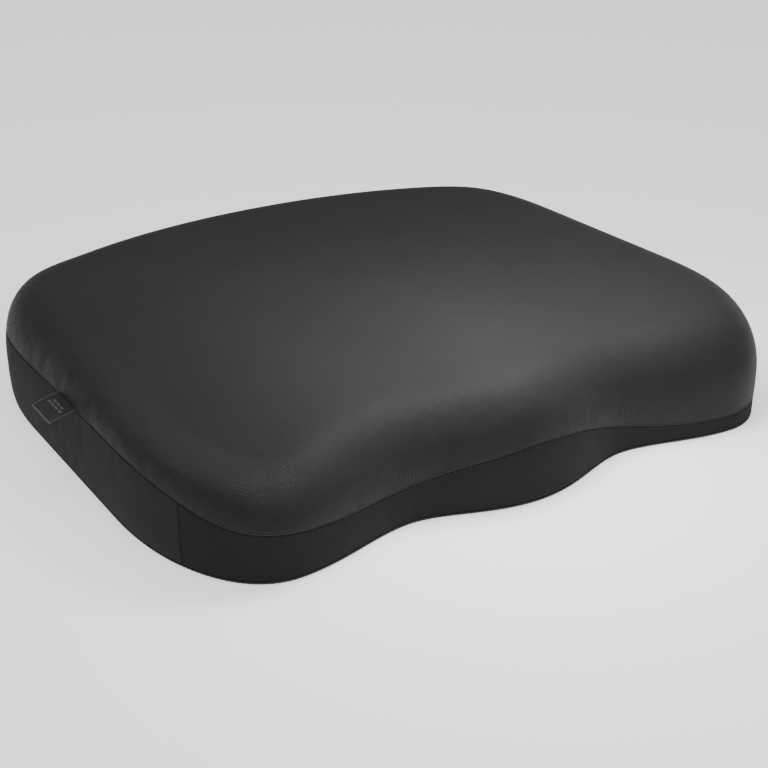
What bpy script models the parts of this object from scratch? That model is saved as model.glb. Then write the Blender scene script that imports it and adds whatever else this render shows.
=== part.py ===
"""Contoured memory-foam seat cushion in a zipped cover.

Metres, +Z up, front edge towards -Y, origin on the floor under the middle of the plan outline.
The perimeter is walked anticlockwise from above, starting at the middle of the front edge.
"""

import bisect
import math

import bmesh
import bpy
from mathutils import Matrix, Vector
from mathutils.geometry import interpolate_bezier

# Plan outline of the cushion. Setbacks are measured back from the foremost line of the front edge.
WIDTH = 0.450
DEPTH = 0.400
NOTCH_X = 0.081
NOTCH_DEPTH = 0.019
LOBE_X = 0.163
LOBE_SETBACK = 0.004
BULGE_PULL = 0.034
NOTCH_PULL = 0.024
LOBE_PULL = 0.030
FRONT_CORNER_LENGTH = 0.118
REAR_CORNER_LENGTH = 0.150
REAR_RADIUS = 0.440
REAR_ARC_HALF = 0.145
FRONT_CORNER_FULLNESS = 0.70
REAR_CORNER_FULLNESS = 0.70

# Heights above the floor.
TOP_HEIGHT = 0.081
REAR_CORNER_FALL = 0.006
FRONT_FALL = 0.006
FRONT_FALL_LENGTH = 0.110
THIGH_GROOVE_DEPTH = 0.009
THIGH_GROOVE_WIDTH = 0.052
THIGH_GROOVE_LENGTH = 0.240
SEAT_DISH_DEPTH = 0.006
SEAT_DISH_RADIUS = 0.120
SEAT_DISH_SETBACK = 0.270
ROLL_INSET = 0.034
ROLL_START = 0.030

# The seam under the top panel: a knot of the outline, a distance past it on the way to the rear, and
# the height there. The cover sits rolled over to the right, so that side's seam is the lower one.
SEAM_RIGHT = (("bulge", 0.0, 0.0395), ("bulge", 0.038, 0.0340), ("notch", 0.0, 0.0195),
              ("notch", 0.035, 0.0135), ("lobe", 0.0, 0.0120), ("side_front", 0.0, 0.0160),
              ("side_rear", 0.0, 0.0300), ("arc_end", 0.0, 0.0410))
SEAM_LEFT = (("bulge", 0.038, 0.0345), ("notch", 0.0, 0.0258), ("notch", 0.040, 0.0262),
             ("lobe", 0.0, 0.0300), ("lobe", 0.035, 0.0335), ("lobe", 0.090, 0.0470),
             ("side_front", 0.0, 0.0510), ("side_rear", 0.0, 0.0490), ("arc_end", 0.0, 0.0450))
SEAM_REAR = 0.0430

# Layers, from the outer face inwards.
CLEARANCE = 0.0003
COVER_THICKNESS = 0.0015
BOTTOM_THICKNESS = 0.0012
LINER_THICKNESS = 0.0005
COVER_TO_LINER = 0.0013
ZIP_RELIEF = 0.0018
LINER_SPLIT_HEIGHT = 0.008

# Seams.
SEAM_RADIUS = 0.0008
SEAM_SIDES = 8
BAND_SEAM_SETBACK = 0.048

# Zip, along the rear arc.
ZIP_HEIGHT = 0.022
ZIP_OPENING = 0.0080
ZIP_END_MARGIN = 0.010
TAPE_WIDTH = 0.0100
TAPE_THICKNESS = 0.0005
TAPE_TO_COVER = 0.0005
COIL_WIDTH = 0.0017
COIL_THICKNESS = 0.0016
COIL_SPLIT = 0.0014
STOP_LENGTH = 0.0025
SLIDER_LENGTH = 0.0110
SLIDER_WIDTH = 0.0072
PLATE_THICKNESS = 0.0011
PLATE_GAP = 0.0004
FLANGE_THICKNESS = 0.0009
POST_THICKNESS = 0.0007
POST_LENGTH = 0.0024
CROWN_LENGTH = 0.0070
CROWN_HEIGHT = 0.0028
CROWN_THICKNESS = 0.0009
CROWN_WIDTH = 0.0018
PULL_BAR_RADIUS = 0.0005
PULL_LENGTH = 0.0240
PULL_WIDTH = 0.0062
PULL_THICKNESS = 0.0010
PULL_ARM_WIDTH = 0.0011

# Fabric tab on the left side and the care label inside the cover.
LABEL_LENGTH = 0.030
LABEL_REACH = 0.0180
LABEL_THICKNESS = 0.0008
LABEL_SLOPE = math.radians(17)
LABEL_Y = -0.0185
CARE_LENGTH = 0.030
CARE_HEIGHT = 0.020
CARE_THICKNESS = 0.0005

# Mesh steps.
BEZIER_STEPS = 40
STATION_COUNT = 96
ROLL_STEPS = 4
ROLL_FIRST_STEP = math.radians(15)
CROWN_RINGS = (0.80, 0.55, 0.28)

FRONT_Y = -DEPTH / 2
REAR_Y = DEPTH / 2
ARC_CENTRE_Y = REAR_Y - REAR_RADIUS
ARC_END_ANGLE = math.asin(REAR_ARC_HALF / REAR_RADIUS)
LINER_INSET = COVER_THICKNESS + COVER_TO_LINER
TAPE_DEPTH = COVER_THICKNESS + TAPE_TO_COVER
FOAM_INSET = LINER_INSET + LINER_THICKNESS + CLEARANCE
SEAM_GAP = SEAM_RADIUS + CLEARANCE
SIDE_MIDDLE_Y = (FRONT_CORNER_LENGTH - REAR_CORNER_LENGTH) / 2
KNOTS = ("bulge", "notch", "lobe", "side_front", "side_rear", "arc_end", "rear")


def clear_scene():
    for obj in list(bpy.data.objects):
        bpy.data.objects.remove(obj, do_unlink=True)


def material(name, colour, roughness, metallic=0.0):
    mat = bpy.data.materials.new(name)
    mat.use_nodes = True
    shader = mat.node_tree.nodes["Principled BSDF"]
    shader.inputs["Base Color"].default_value = (*colour, 1.0)
    shader.inputs["Roughness"].default_value = roughness
    shader.inputs["Metallic"].default_value = metallic
    return mat


def smoothstep(value):
    t = min(max(value, 0.0), 1.0)
    return t * t * (3 - 2 * t)


# ---------------------------------------------------------------------------------------------
# Outline
# ---------------------------------------------------------------------------------------------

def half_outline():
    """Points of the right half from the front middle to the rear middle, and each knot's index."""
    along = Vector((1, 0))
    back = Vector((0, 1))
    bulge = Vector((0, FRONT_Y))
    notch = Vector((NOTCH_X, FRONT_Y + NOTCH_DEPTH))
    lobe = Vector((LOBE_X, FRONT_Y + LOBE_SETBACK))
    side_front = Vector((WIDTH / 2, FRONT_Y + FRONT_CORNER_LENGTH))
    side_rear = Vector((WIDTH / 2, REAR_Y - REAR_CORNER_LENGTH))
    arc_end = Vector((REAR_ARC_HALF, ARC_CENTRE_Y + REAR_RADIUS * math.cos(ARC_END_ANGLE)))
    arc_tangent = Vector((-math.cos(ARC_END_ANGLE), math.sin(ARC_END_ANGLE)))
    front_pull = back * (side_front - lobe).y * FRONT_CORNER_FULLNESS
    rear_pull = back * (arc_end - side_rear).y * REAR_CORNER_FULLNESS
    arc_pull = arc_tangent * (side_rear - arc_end).x * REAR_CORNER_FULLNESS
    third = back * (side_rear - side_front).y / 3
    spans = (
        (bulge, along * BULGE_PULL, along * NOTCH_PULL, notch),
        (notch, along * NOTCH_PULL, along * LOBE_PULL, lobe),
        (lobe, along * LOBE_PULL, front_pull, side_front),
        (side_front, third, third, side_rear),
        (side_rear, rear_pull, arc_pull, arc_end),
    )
    points = []
    knot_at = [0]
    for start, pull_out, pull_in, end in spans:
        curve = interpolate_bezier(start, start + pull_out, end - pull_in, end, BEZIER_STEPS)
        points += curve[:-1]
        knot_at.append(len(points))
    for step in range(BEZIER_STEPS + 1):
        angle = ARC_END_ANGLE * (1 - step / BEZIER_STEPS)
        points.append(Vector((REAR_RADIUS * math.sin(angle),
                              ARC_CENTRE_Y + REAR_RADIUS * math.cos(angle))))
    knot_at.append(len(points) - 1)
    return [Vector((p.x, p.y)) for p in points], knot_at


def whole_outline():
    """Closed list of points, the distance walked to each, and the distance at each knot."""
    half, knot_at = half_outline()
    points = half + [Vector((-p.x, p.y)) for p in reversed(half[:-1])]
    walked = [0.0]
    for a, b in zip(points, points[1:]):
        walked.append(walked[-1] + (b - a).length)
    right = {name: walked[i] for name, i in zip(KNOTS, knot_at)}
    left = {name: walked[-1] - s for name, s in right.items()}
    return points, walked, right, left


POINTS, WALKED, RIGHT, LEFT = whole_outline()
PERIMETER = WALKED[-1]


def on_outline(s):
    """Place on the outline, walked s from the front middle, and the outward normal there."""
    s %= PERIMETER
    i = min(bisect.bisect_right(WALKED, s), len(POINTS) - 1)
    a = POINTS[i - 1]
    b = POINTS[i]
    place = a.lerp(b, (s - WALKED[i - 1]) / (WALKED[i] - WALKED[i - 1]))
    before = POINTS[i - 2] if i > 1 else POINTS[-2]
    after = POINTS[(i + 1) % len(POINTS)] if i + 1 < len(POINTS) else POINTS[1]
    tangent = (after - before).normalized()
    return place, Vector((tangent.y, -tangent.x))


def seam_marks():
    """Distances walked and heights of the top seam, once round, with one mark beyond each end."""
    marks = [(RIGHT[knot] + past, height) for knot, past, height in SEAM_RIGHT]
    marks.append((RIGHT["rear"], SEAM_REAR))
    marks += [(LEFT[knot] - past, height) for knot, past, height in reversed(SEAM_LEFT)]
    before = (marks[-1][0] - PERIMETER, marks[-1][1])
    after = [(s + PERIMETER, height) for s, height in marks[:2]]
    return [before, *marks, *after]


SEAM_MARKS = seam_marks()


def seam_height(s):
    """Height of the top seam, on a smooth curve through its marks."""
    s %= PERIMETER
    i = bisect.bisect_right([mark[0] for mark in SEAM_MARKS], s) - 1
    (sa, za), (s0, z0), (s1, z1), (sb, zb) = SEAM_MARKS[i - 1:i + 3]
    span = s1 - s0
    slope0 = (z1 - za) / (s1 - sa) * span
    slope1 = (zb - z0) / (sb - s0) * span
    t = (s - s0) / span
    ease = t * t * (3 - 2 * t)
    return z0 + (z1 - z0) * ease + slope0 * t * (1 - t) ** 2 - slope1 * t * t * (1 - t)


def top_height(x, y):
    """Height of the sitting surface: crowned, grooved for the thighs and dished under the seat."""
    corner = REAR_CORNER_FALL * (2 * x / WIDTH) ** 2 * (1 + 2 * y / DEPTH) / 2
    front = FRONT_FALL * (1 - smoothstep((y - FRONT_Y) / FRONT_FALL_LENGTH)) ** 2
    reach = 1 - smoothstep((y - FRONT_Y) / THIGH_GROOVE_LENGTH)
    across = (abs(x) - NOTCH_X) / THIGH_GROOVE_WIDTH
    groove = THIGH_GROOVE_DEPTH * reach * math.exp(-across * across)
    from_seat = math.hypot(x, y - FRONT_Y - SEAT_DISH_SETBACK) / SEAT_DISH_RADIUS
    dish = SEAT_DISH_DEPTH * math.exp(-from_seat * from_seat)
    return TOP_HEIGHT - corner - front - groove - dish


def band_marks():
    """Distances along the perimeter of the upright seams that join the side bands."""
    right_front = next(walked for walked, point in zip(WALKED, POINTS)
                       if point.x > LOBE_X and point.y > FRONT_Y + BAND_SEAM_SETBACK)
    return {"front_right": right_front, "rear_right": RIGHT["arc_end"],
            "rear_left": LEFT["arc_end"], "front_left": PERIMETER - right_front}


MARKS = band_marks()


def stations(start, end):
    """Perimeter distances from start to end, evenly spread between the upright seams."""
    stops = [m + turn * PERIMETER for turn in (0, 1) for m in sorted(MARKS.values())]
    inner = [m for m in stops if start + 1e-6 < m < end - 1e-6]
    found = []
    ends = [start, *inner, end]
    for a, b in zip(ends, ends[1:]):
        count = max(1, round((b - a) * STATION_COUNT / PERIMETER))
        found += [a + (b - a) * i / count for i in range(count)]
    return found + [end]


def ring_stations():
    start = MARKS["front_left"]
    return stations(start, start + PERIMETER)[:-1]


# ---------------------------------------------------------------------------------------------
# Surfaces, as rows of points
# ---------------------------------------------------------------------------------------------

def relief(s):
    """Extra inset of the inner layers behind the zip."""
    nearest = max(RIGHT["arc_end"] - s, s - LEFT["arc_end"], 0.0)
    return ZIP_RELIEF * (1 - smoothstep(nearest / REAR_CORNER_LENGTH * 2))


def roll_rise(s, depth):
    """Height of the rolled edge above its start, for a surface that lies this deep."""
    place, normal = on_outline(s)
    edge = place - normal * ROLL_INSET
    return top_height(*edge) - depth - ROLL_START


def roll_angle(s, z, depth=0.0):
    """Angle round the rolled edge at a height; it is negative below the roll."""
    return math.asin(max(-1.0, min((z - ROLL_START) / roll_rise(s, depth), 1.0)))


def wall_point(s, z, depth, relieved=False):
    """Point on the side wall or the rolled edge, this deep under the outer face."""
    place, normal = on_outline(s)
    deep = depth + (relief(s % PERIMETER) if relieved else 0.0)
    angle = max(0.0, roll_angle(s, z, depth))
    inset = deep + (ROLL_INSET - deep) * (1 - math.cos(angle))
    return Vector((*(place - normal * inset), z))


def wall_row(walk, depth, height, relieved=False):
    """A row round the side wall; height is a number or a function of the distance walked."""
    return [wall_point(s, height(s) if callable(height) else height, depth, relieved) for s in walk]


def dome_rows(walk, depth, lift=0.0, relieved=False):
    """Rows from just above the top seam over the rolled edge and in to the middle."""
    rows = [[wall_point(s, seam_height(s) + lift, depth, relieved) for s in walk]]
    for step in range(ROLL_STEPS):
        row = []
        for s in walk:
            first = max(0.0, roll_angle(s, seam_height(s) + lift) + ROLL_FIRST_STEP)
            angle = first + (math.pi / 2 - first) * step / (ROLL_STEPS - 1)
            place, normal = on_outline(s)
            deep = depth + (relief(s % PERIMETER) if relieved else 0.0)
            inset = ROLL_INSET - (ROLL_INSET - deep) * math.cos(angle)
            z = ROLL_START + roll_rise(s, depth) * math.sin(angle)
            row.append(Vector((*(place - normal * inset), z)))
        rows.append(row)
    middle = Vector((0, (FRONT_Y + NOTCH_DEPTH + REAR_Y) / 2))
    edge = rows[-1]
    for share in CROWN_RINGS:
        ring = []
        for p in edge:
            flat = middle.lerp(p.xy, share)
            ring.append(Vector((*flat, top_height(*flat) - depth)))
        rows.append(ring)
    rows.append([Vector((*middle, top_height(*middle) - depth))])
    return rows


# ---------------------------------------------------------------------------------------------
# Solids
# ---------------------------------------------------------------------------------------------

def finish(name, bm, mat, smooth=True):
    bmesh.ops.recalc_face_normals(bm, faces=bm.faces)
    mesh = bpy.data.meshes.new(name)
    bm.to_mesh(mesh)
    bm.free()
    if smooth:
        mesh.shade_smooth()
        mesh.set_sharp_from_angle(angle=math.radians(50))
    mesh.materials.append(mat)
    obj = bpy.data.objects.new(name, mesh)
    bpy.context.scene.collection.objects.link(obj)
    return obj


def bridge(bm, low, high, closed):
    """Faces between two rows; a row of one vertex closes the other as a fan."""
    count = max(len(low), len(high))
    for i in range(count if closed else count - 1):
        j = (i + 1) % count
        corners = [low[i % len(low)], low[j % len(low)], high[j % len(high)], high[i % len(high)]]
        bm.faces.new(list(dict.fromkeys(corners)))


def sheet(name, outer, inner, mat, closed):
    """Solid between two surfaces that are given as rows of points."""
    bm = bmesh.new()
    skins = []
    for rows in (outer, inner):
        verts = [[bm.verts.new(p) for p in row] for row in rows]
        for low, high in zip(verts, verts[1:]):
            bridge(bm, low, high, closed)
        skins.append(verts)
    out, into = skins
    bridge(bm, out[0], into[0], closed)
    if len(out[-1]) > 1:
        bridge(bm, out[-1], into[-1], closed)
    if not closed:
        for end in (0, -1):
            bridge(bm, [row[end] for row in out], [row[end] for row in into], False)
    return finish(name, bm, mat)


def filled(name, rows, mat):
    """Closed solid: rows of rings, with the first one capped."""
    bm = bmesh.new()
    verts = [[bm.verts.new(p) for p in row] for row in rows]
    for low, high in zip(verts, verts[1:]):
        bridge(bm, low, high, True)
    bm.faces.new(list(reversed(verts[0])))
    if len(verts[-1]) > 1:
        bm.faces.new(verts[-1])
    return finish(name, bm, mat)


def box(bm, low, high):
    low = Vector(low)
    high = Vector(high)
    made = bmesh.ops.create_cube(bm, size=1.0)["verts"]
    bmesh.ops.scale(bm, vec=high - low, verts=made)
    bmesh.ops.translate(bm, vec=(low + high) / 2, verts=made)
    return made


def box_object(name, low, high, mat=None):
    bm = bmesh.new()
    box(bm, low, high)
    return finish(name, bm, mat, smooth=False)


def join_to(obj, others):
    """Unites the others with the object and hides them."""
    for other in others:
        union = obj.modifiers.new(f"with_{other.name}", "BOOLEAN")
        union.operation = "UNION"
        union.object = other
        other.hide_render = True
        other.display_type = "WIRE"
        other.parent = obj


# ---------------------------------------------------------------------------------------------
# Filling
# ---------------------------------------------------------------------------------------------

def foam_core(mat):
    walk = ring_stations()
    base = BOTTOM_THICKNESS + 2 * CLEARANCE + LINER_THICKNESS
    rows = [wall_row(walk, FOAM_INSET, base, relieved=True)]
    rows += dome_rows(walk, FOAM_INSET, relieved=True)
    return filled("foam_core", rows, mat)


def liner_bottom(mat):
    walk = ring_stations()
    base = BOTTOM_THICKNESS + CLEARANCE
    floor = base + LINER_THICKNESS
    outer = [[Vector((0, 0, base))], wall_row(walk, LINER_INSET, base, True),
             wall_row(walk, LINER_INSET, LINER_SPLIT_HEIGHT, True)]
    inset = LINER_INSET + LINER_THICKNESS
    inner = [[Vector((0, 0, floor))], wall_row(walk, inset, floor, True),
             wall_row(walk, inset, LINER_SPLIT_HEIGHT, True)]
    bm = bmesh.new()
    skins = []
    for rows in (outer, inner):
        verts = [[bm.verts.new(p) for p in row] for row in rows]
        for low, high in zip(verts, verts[1:]):
            bridge(bm, low, high, True)
        skins.append(verts)
    bridge(bm, skins[0][-1], skins[1][-1], True)
    return finish("liner_bottom", bm, mat)


def liner_top(mat):
    walk = ring_stations()
    start = LINER_SPLIT_HEIGHT + CLEARANCE
    inset = LINER_INSET + LINER_THICKNESS
    outer = [wall_row(walk, LINER_INSET, start, True), *dome_rows(walk, LINER_INSET, relieved=True)]
    inner = [wall_row(walk, inset, start, True), *dome_rows(walk, inset, relieved=True)]
    return sheet("liner_top", outer, inner, mat, closed=True)


# ---------------------------------------------------------------------------------------------
# Cover
# ---------------------------------------------------------------------------------------------

def top_panel(mat):
    walk = ring_stations()
    outer = dome_rows(walk, 0.0, lift=SEAM_GAP)
    inner = dome_rows(walk, COVER_THICKNESS, lift=SEAM_GAP)
    return sheet("top_panel", outer, inner, mat, closed=True)


def band(name, start, end, low, high, mat):
    """One strip of the side wall between two upright seams."""
    walk = [start + SEAM_GAP, *stations(start, end)[1:-1], end - SEAM_GAP]

    def middle(s):
        tall = (high(s) if callable(high) else high) - low
        return max(low + 0.2 * tall, min(ROLL_START, low + 0.6 * tall))

    outer, inner = ([wall_row(walk, depth, z) for z in (low, middle, high)]
                    for depth in (0.0, COVER_THICKNESS))
    return sheet(name, outer, inner, mat, closed=False)


def under_top_seam(s):
    return seam_height(s) - SEAM_GAP


def bands(front_mat, side_mat):
    low = 2 * SEAM_RADIUS + 2 * CLEARANCE
    upper = ZIP_HEIGHT + ZIP_OPENING / 2
    lower = ZIP_HEIGHT - ZIP_OPENING / 2
    band("front_band", MARKS["front_left"], MARKS["front_right"] + PERIMETER, low, under_top_seam, front_mat)
    band("right_band", MARKS["front_right"], MARKS["rear_right"], low, under_top_seam, side_mat)
    band("left_band", MARKS["rear_left"], MARKS["front_left"], low, under_top_seam, side_mat)
    band("rear_band_upper", MARKS["rear_right"], MARKS["rear_left"], upper, under_top_seam, side_mat)
    band("rear_band_lower", MARKS["rear_right"], MARKS["rear_left"], low, lower, side_mat)


def bottom_panel(mat):
    walk = ring_stations()
    inset = 2 * SEAM_RADIUS + CLEARANCE
    rows = [wall_row(walk, inset, 0.0), wall_row(walk, inset, BOTTOM_THICKNESS)]
    return filled("bottom_panel", rows, mat)


def seam_ring(name, height, mat):
    """Stitched seam allowance round the whole cover, with its outer edge flush with the fabric."""
    walk = ring_stations()
    bm = bmesh.new()
    rings = []
    for s in walk:
        centre = wall_point(s, height(s), SEAM_RADIUS)
        out = Vector((*on_outline(s)[1], 0)) * SEAM_RADIUS
        up = Vector((0, 0, SEAM_RADIUS))
        rings.append([bm.verts.new(centre + d) for d in (out, up, -out, -up)])
    for ring, following in zip(rings, rings[1:] + rings[:1]):
        bridge(bm, ring, following, True)
    return finish(name, bm, mat)


def bottom_seam_height(_s):
    return SEAM_RADIUS


def upright_seam(name, s, mat):
    """Seam between two bands, from the bottom seam to the top one."""
    low = 2 * SEAM_RADIUS + CLEARANCE
    high = seam_height(s) - SEAM_GAP - CLEARANCE
    rows = []
    for z in (low, min(ROLL_START, low + 0.6 * (high - low)), high):
        centre = wall_point(s, z, SEAM_RADIUS)
        turns = [math.tau * i / SEAM_SIDES for i in range(SEAM_SIDES)]
        rows.append([centre + Vector((math.cos(a), math.sin(a), 0)) * SEAM_RADIUS for a in turns])
    return filled(name, rows, mat)


# ---------------------------------------------------------------------------------------------
# Zip
# ---------------------------------------------------------------------------------------------

def zip_span(half_length):
    """Perimeter distances of a stretch centred on the rear middle."""
    middle = RIGHT["rear"]
    return [middle - half_length, middle + half_length]


def zip_strip(name, half_length, low, high, near, far, mat):
    """Strip along the rear arc between two heights and two depths under the outer face."""
    walk = stations(*zip_span(half_length))
    outer = [wall_row(walk, near, low), wall_row(walk, near, high)]
    inner = [wall_row(walk, far, low), wall_row(walk, far, high)]
    return sheet(name, outer, inner, mat, closed=False)


CHAIN_HALF = RIGHT["rear"] - RIGHT["arc_end"] - ZIP_END_MARGIN
COIL_FAR = TAPE_DEPTH - CLEARANCE
COIL_NEAR = COIL_FAR - COIL_THICKNESS


def zip_tapes(mat):
    near = TAPE_DEPTH
    far = TAPE_DEPTH + TAPE_THICKNESS
    reach = CHAIN_HALF + STOP_LENGTH + CLEARANCE
    inner_edge = COIL_SPLIT / 2
    zip_strip("zip_tape_upper", reach, ZIP_HEIGHT + inner_edge, ZIP_HEIGHT + TAPE_WIDTH, near, far, mat)
    zip_strip("zip_tape_lower", reach, ZIP_HEIGHT - TAPE_WIDTH, ZIP_HEIGHT - inner_edge, near, far, mat)


def zip_coils(mat):
    low = COIL_SPLIT / 2
    high = low + COIL_WIDTH
    zip_strip("zip_coil_upper", CHAIN_HALF, ZIP_HEIGHT + low, ZIP_HEIGHT + high, COIL_NEAR, COIL_FAR, mat)
    zip_strip("zip_coil_lower", CHAIN_HALF, ZIP_HEIGHT - high, ZIP_HEIGHT - low, COIL_NEAR, COIL_FAR, mat)


def zip_frame(s):
    """Matrix of a place on the rear arc: X along the walk, Y inwards, Z up, on the zip's middle line."""
    angle = (s - RIGHT["rear"]) / REAR_RADIUS
    spot = Vector((-REAR_RADIUS * math.sin(angle), ARC_CENTRE_Y + REAR_RADIUS * math.cos(angle), ZIP_HEIGHT))
    return Matrix.Translation(spot) @ Matrix.Rotation(math.pi + angle, 4, "Z")


def zip_stop(name, side, mat):
    """Crimped stop across both coils at one end of the chain."""
    half = COIL_SPLIT / 2 + COIL_WIDTH
    length = STOP_LENGTH / 2
    stop = box_object(name, (-length, COIL_NEAR, -half), (length, COIL_FAR, half), mat)
    s = RIGHT["rear"] + side * (CHAIN_HALF + CLEARANCE + length)
    stop.matrix_world = zip_frame(s)
    bevel = stop.modifiers.new("rounded", "BEVEL")
    bevel.width = COIL_THICKNESS / 5
    bevel.segments = 2
    return stop


def slider_rest():
    """The zip is closed at rest: the slider stands against the stop on the right."""
    return RIGHT["rear"] - CHAIN_HALF + SLIDER_LENGTH / 2 + CLEARANCE


PLATE_FACE = COIL_NEAR - PLATE_GAP
SLIDER_FACE = PLATE_FACE - PLATE_THICKNESS
CROWN_TOP = SLIDER_FACE - CROWN_HEIGHT
PULL_AXIS_Y = (SLIDER_FACE + CROWN_TOP + CROWN_THICKNESS) / 2


def zip_slider(mat):
    """Two plates joined by a post that runs between the coils, with flanges and a crown."""
    half_l = SLIDER_LENGTH / 2
    half_w = SLIDER_WIDTH / 2
    flange = half_w - FLANGE_THICKNESS
    tape_back = TAPE_DEPTH + TAPE_THICKNESS + CLEARANCE
    post = POST_THICKNESS / 2
    crown = CROWN_WIDTH / 2
    leg = CROWN_LENGTH / 2
    bite = PLATE_THICKNESS / 4
    slider = box_object("zip_slider", (-half_l, SLIDER_FACE, -half_w), (half_l, PLATE_FACE, half_w), mat)
    rounded = slider.modifiers.new("rounded", "BEVEL")
    rounded.width = PLATE_THICKNESS / 4
    rounded.segments = 2
    flange_end = COIL_FAR - CLEARANCE / 3
    roof_end = CROWN_TOP + CROWN_THICKNESS
    pieces = {
        "back_plate": ((-half_l, tape_back, -half_w), (half_l, tape_back + PLATE_THICKNESS, half_w)),
        "post": ((half_l - POST_LENGTH, PLATE_FACE - bite, -post), (half_l - bite, tape_back + bite, post)),
        "flange_low": ((-half_l + bite, PLATE_FACE - bite, -half_w + bite / 2),
                       (half_l - bite, flange_end, -flange)),
        "flange_high": ((-half_l + bite, PLATE_FACE - bite, flange),
                        (half_l - bite, flange_end, half_w - bite / 2)),
        "leg_a": ((-leg, roof_end - bite, -crown), (-leg + CROWN_THICKNESS, SLIDER_FACE + bite, crown)),
        "leg_b": ((leg - CROWN_THICKNESS, roof_end - bite, -crown), (leg, SLIDER_FACE + bite, crown)),
        "crown_roof": ((-leg, CROWN_TOP, -crown), (leg, roof_end, crown)),
    }
    join_to(slider, [box_object(name, low, high, mat) for name, (low, high) in pieces.items()])
    slider.matrix_world = zip_frame(slider_rest())
    return slider


def zip_pull(mat, slider):
    """Tab with an eye; its round bar lies under the crown and is the hinge line."""
    half_w = PULL_WIDTH / 2
    arm = half_w - PULL_ARM_WIDTH
    half_t = PULL_THICKNESS / 2
    tab_start = CROWN_LENGTH / 2 + 3 * CLEARANCE
    bite = PULL_BAR_RADIUS / 2
    pull = box_object("zip_pull", (tab_start, -half_t, -half_w), (PULL_LENGTH, half_t, half_w), mat)
    edge = pull.modifiers.new("rounded", "BEVEL")
    edge.width = PULL_THICKNESS / 4
    edge.segments = 2
    arms = [box_object(name, (0, -half_t * 0.9, low), (tab_start + bite * 2, half_t * 0.9, high), mat)
            for name, low, high in (("arm_low", -half_w + bite / 2, -arm), ("arm_high", arm, half_w - bite / 2))]
    bm = bmesh.new()
    bmesh.ops.create_cone(bm, cap_ends=True, segments=12, radius1=PULL_BAR_RADIUS,
                          radius2=PULL_BAR_RADIUS, depth=PULL_WIDTH - bite * 2)
    join_to(pull, [*arms, finish("bar", bm, mat)])
    pull.matrix_world = slider.matrix_world @ Matrix.Translation((0, PULL_AXIS_Y, 0))
    return pull


# ---------------------------------------------------------------------------------------------
# Labels
# ---------------------------------------------------------------------------------------------

def side_label(mat):
    """Folded fabric tab that stands out from the left top seam; its origin is its hinge line."""
    walk = LEFT["side_front"] - (LABEL_Y - FRONT_Y - FRONT_CORNER_LENGTH)
    half = LABEL_LENGTH / 2
    thick = LABEL_THICKNESS / 2
    sewn_at = wall_point(walk, seam_height(walk), 0.0)
    label = box_object("side_label", (-LABEL_REACH, -half, -thick), (thick, half, thick), mat)
    label.location = sewn_at + Vector((-2 * CLEARANCE - thick, 0, 0))
    label.rotation_euler.y = -LABEL_SLOPE
    bevel = label.modifiers.new("rounded", "BEVEL")
    bevel.width = LABEL_THICKNESS / 4
    bevel.segments = 2
    return label


def care_label(mat):
    """Printed ribbon sewn inside the left side, between the cover and the liner."""
    inner = WIDTH / 2 - COVER_THICKNESS - CLEARANCE
    half = CARE_LENGTH / 2
    low = LINER_SPLIT_HEIGHT
    return box_object("care_label", (-inner, SIDE_MIDDLE_Y - half, low),
                      (-inner + CARE_THICKNESS, SIDE_MIDDLE_Y + half, low + CARE_HEIGHT), mat)


def main():
    clear_scene()
    foam = material("memory_foam", (0.62, 0.60, 0.52), 0.9)
    liner = material("liner_knit", (0.55, 0.55, 0.55), 0.85)
    knit = material("top_knit", (0.060, 0.058, 0.059), 0.75)
    front = material("front_band_knit", (0.030, 0.030, 0.031), 0.8)
    side = material("side_band_knit", (0.040, 0.040, 0.041), 0.8)
    grip = material("bottom_grip_fabric", (0.030, 0.030, 0.032), 0.85)
    thread = material("seam_thread", (0.025, 0.025, 0.026), 0.7)
    tape = material("zip_tape", (0.020, 0.020, 0.021), 0.75)
    coil = material("zip_coil", (0.018, 0.018, 0.019), 0.4)
    metal = material("zip_metal", (0.050, 0.050, 0.052), 0.35, 1.0)
    woven = material("woven_label", (0.045, 0.045, 0.046), 0.6)
    ribbon = material("care_ribbon", (0.75, 0.75, 0.74), 0.6)

    foam_core(foam)
    liner_bottom(liner)
    liner_top(liner)
    top_panel(knit)
    bands(front, side)
    bottom_panel(grip)
    seam_ring("top_seam", seam_height, thread)
    seam_ring("bottom_seam", bottom_seam_height, thread)
    for place, s in MARKS.items():
        upright_seam(f"band_seam_{place}", s, thread)
    zip_tapes(tape)
    zip_coils(coil)
    zip_stop("zip_stop_closed_end", -1, metal)
    zip_stop("zip_stop_open_end", 1, metal)
    slider = zip_slider(metal)
    zip_pull(metal, slider)
    side_label(woven)
    care_label(ribbon)


main()
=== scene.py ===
import math

import bmesh
import bpy
import numpy as np
from mathutils import Matrix, Vector


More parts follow.
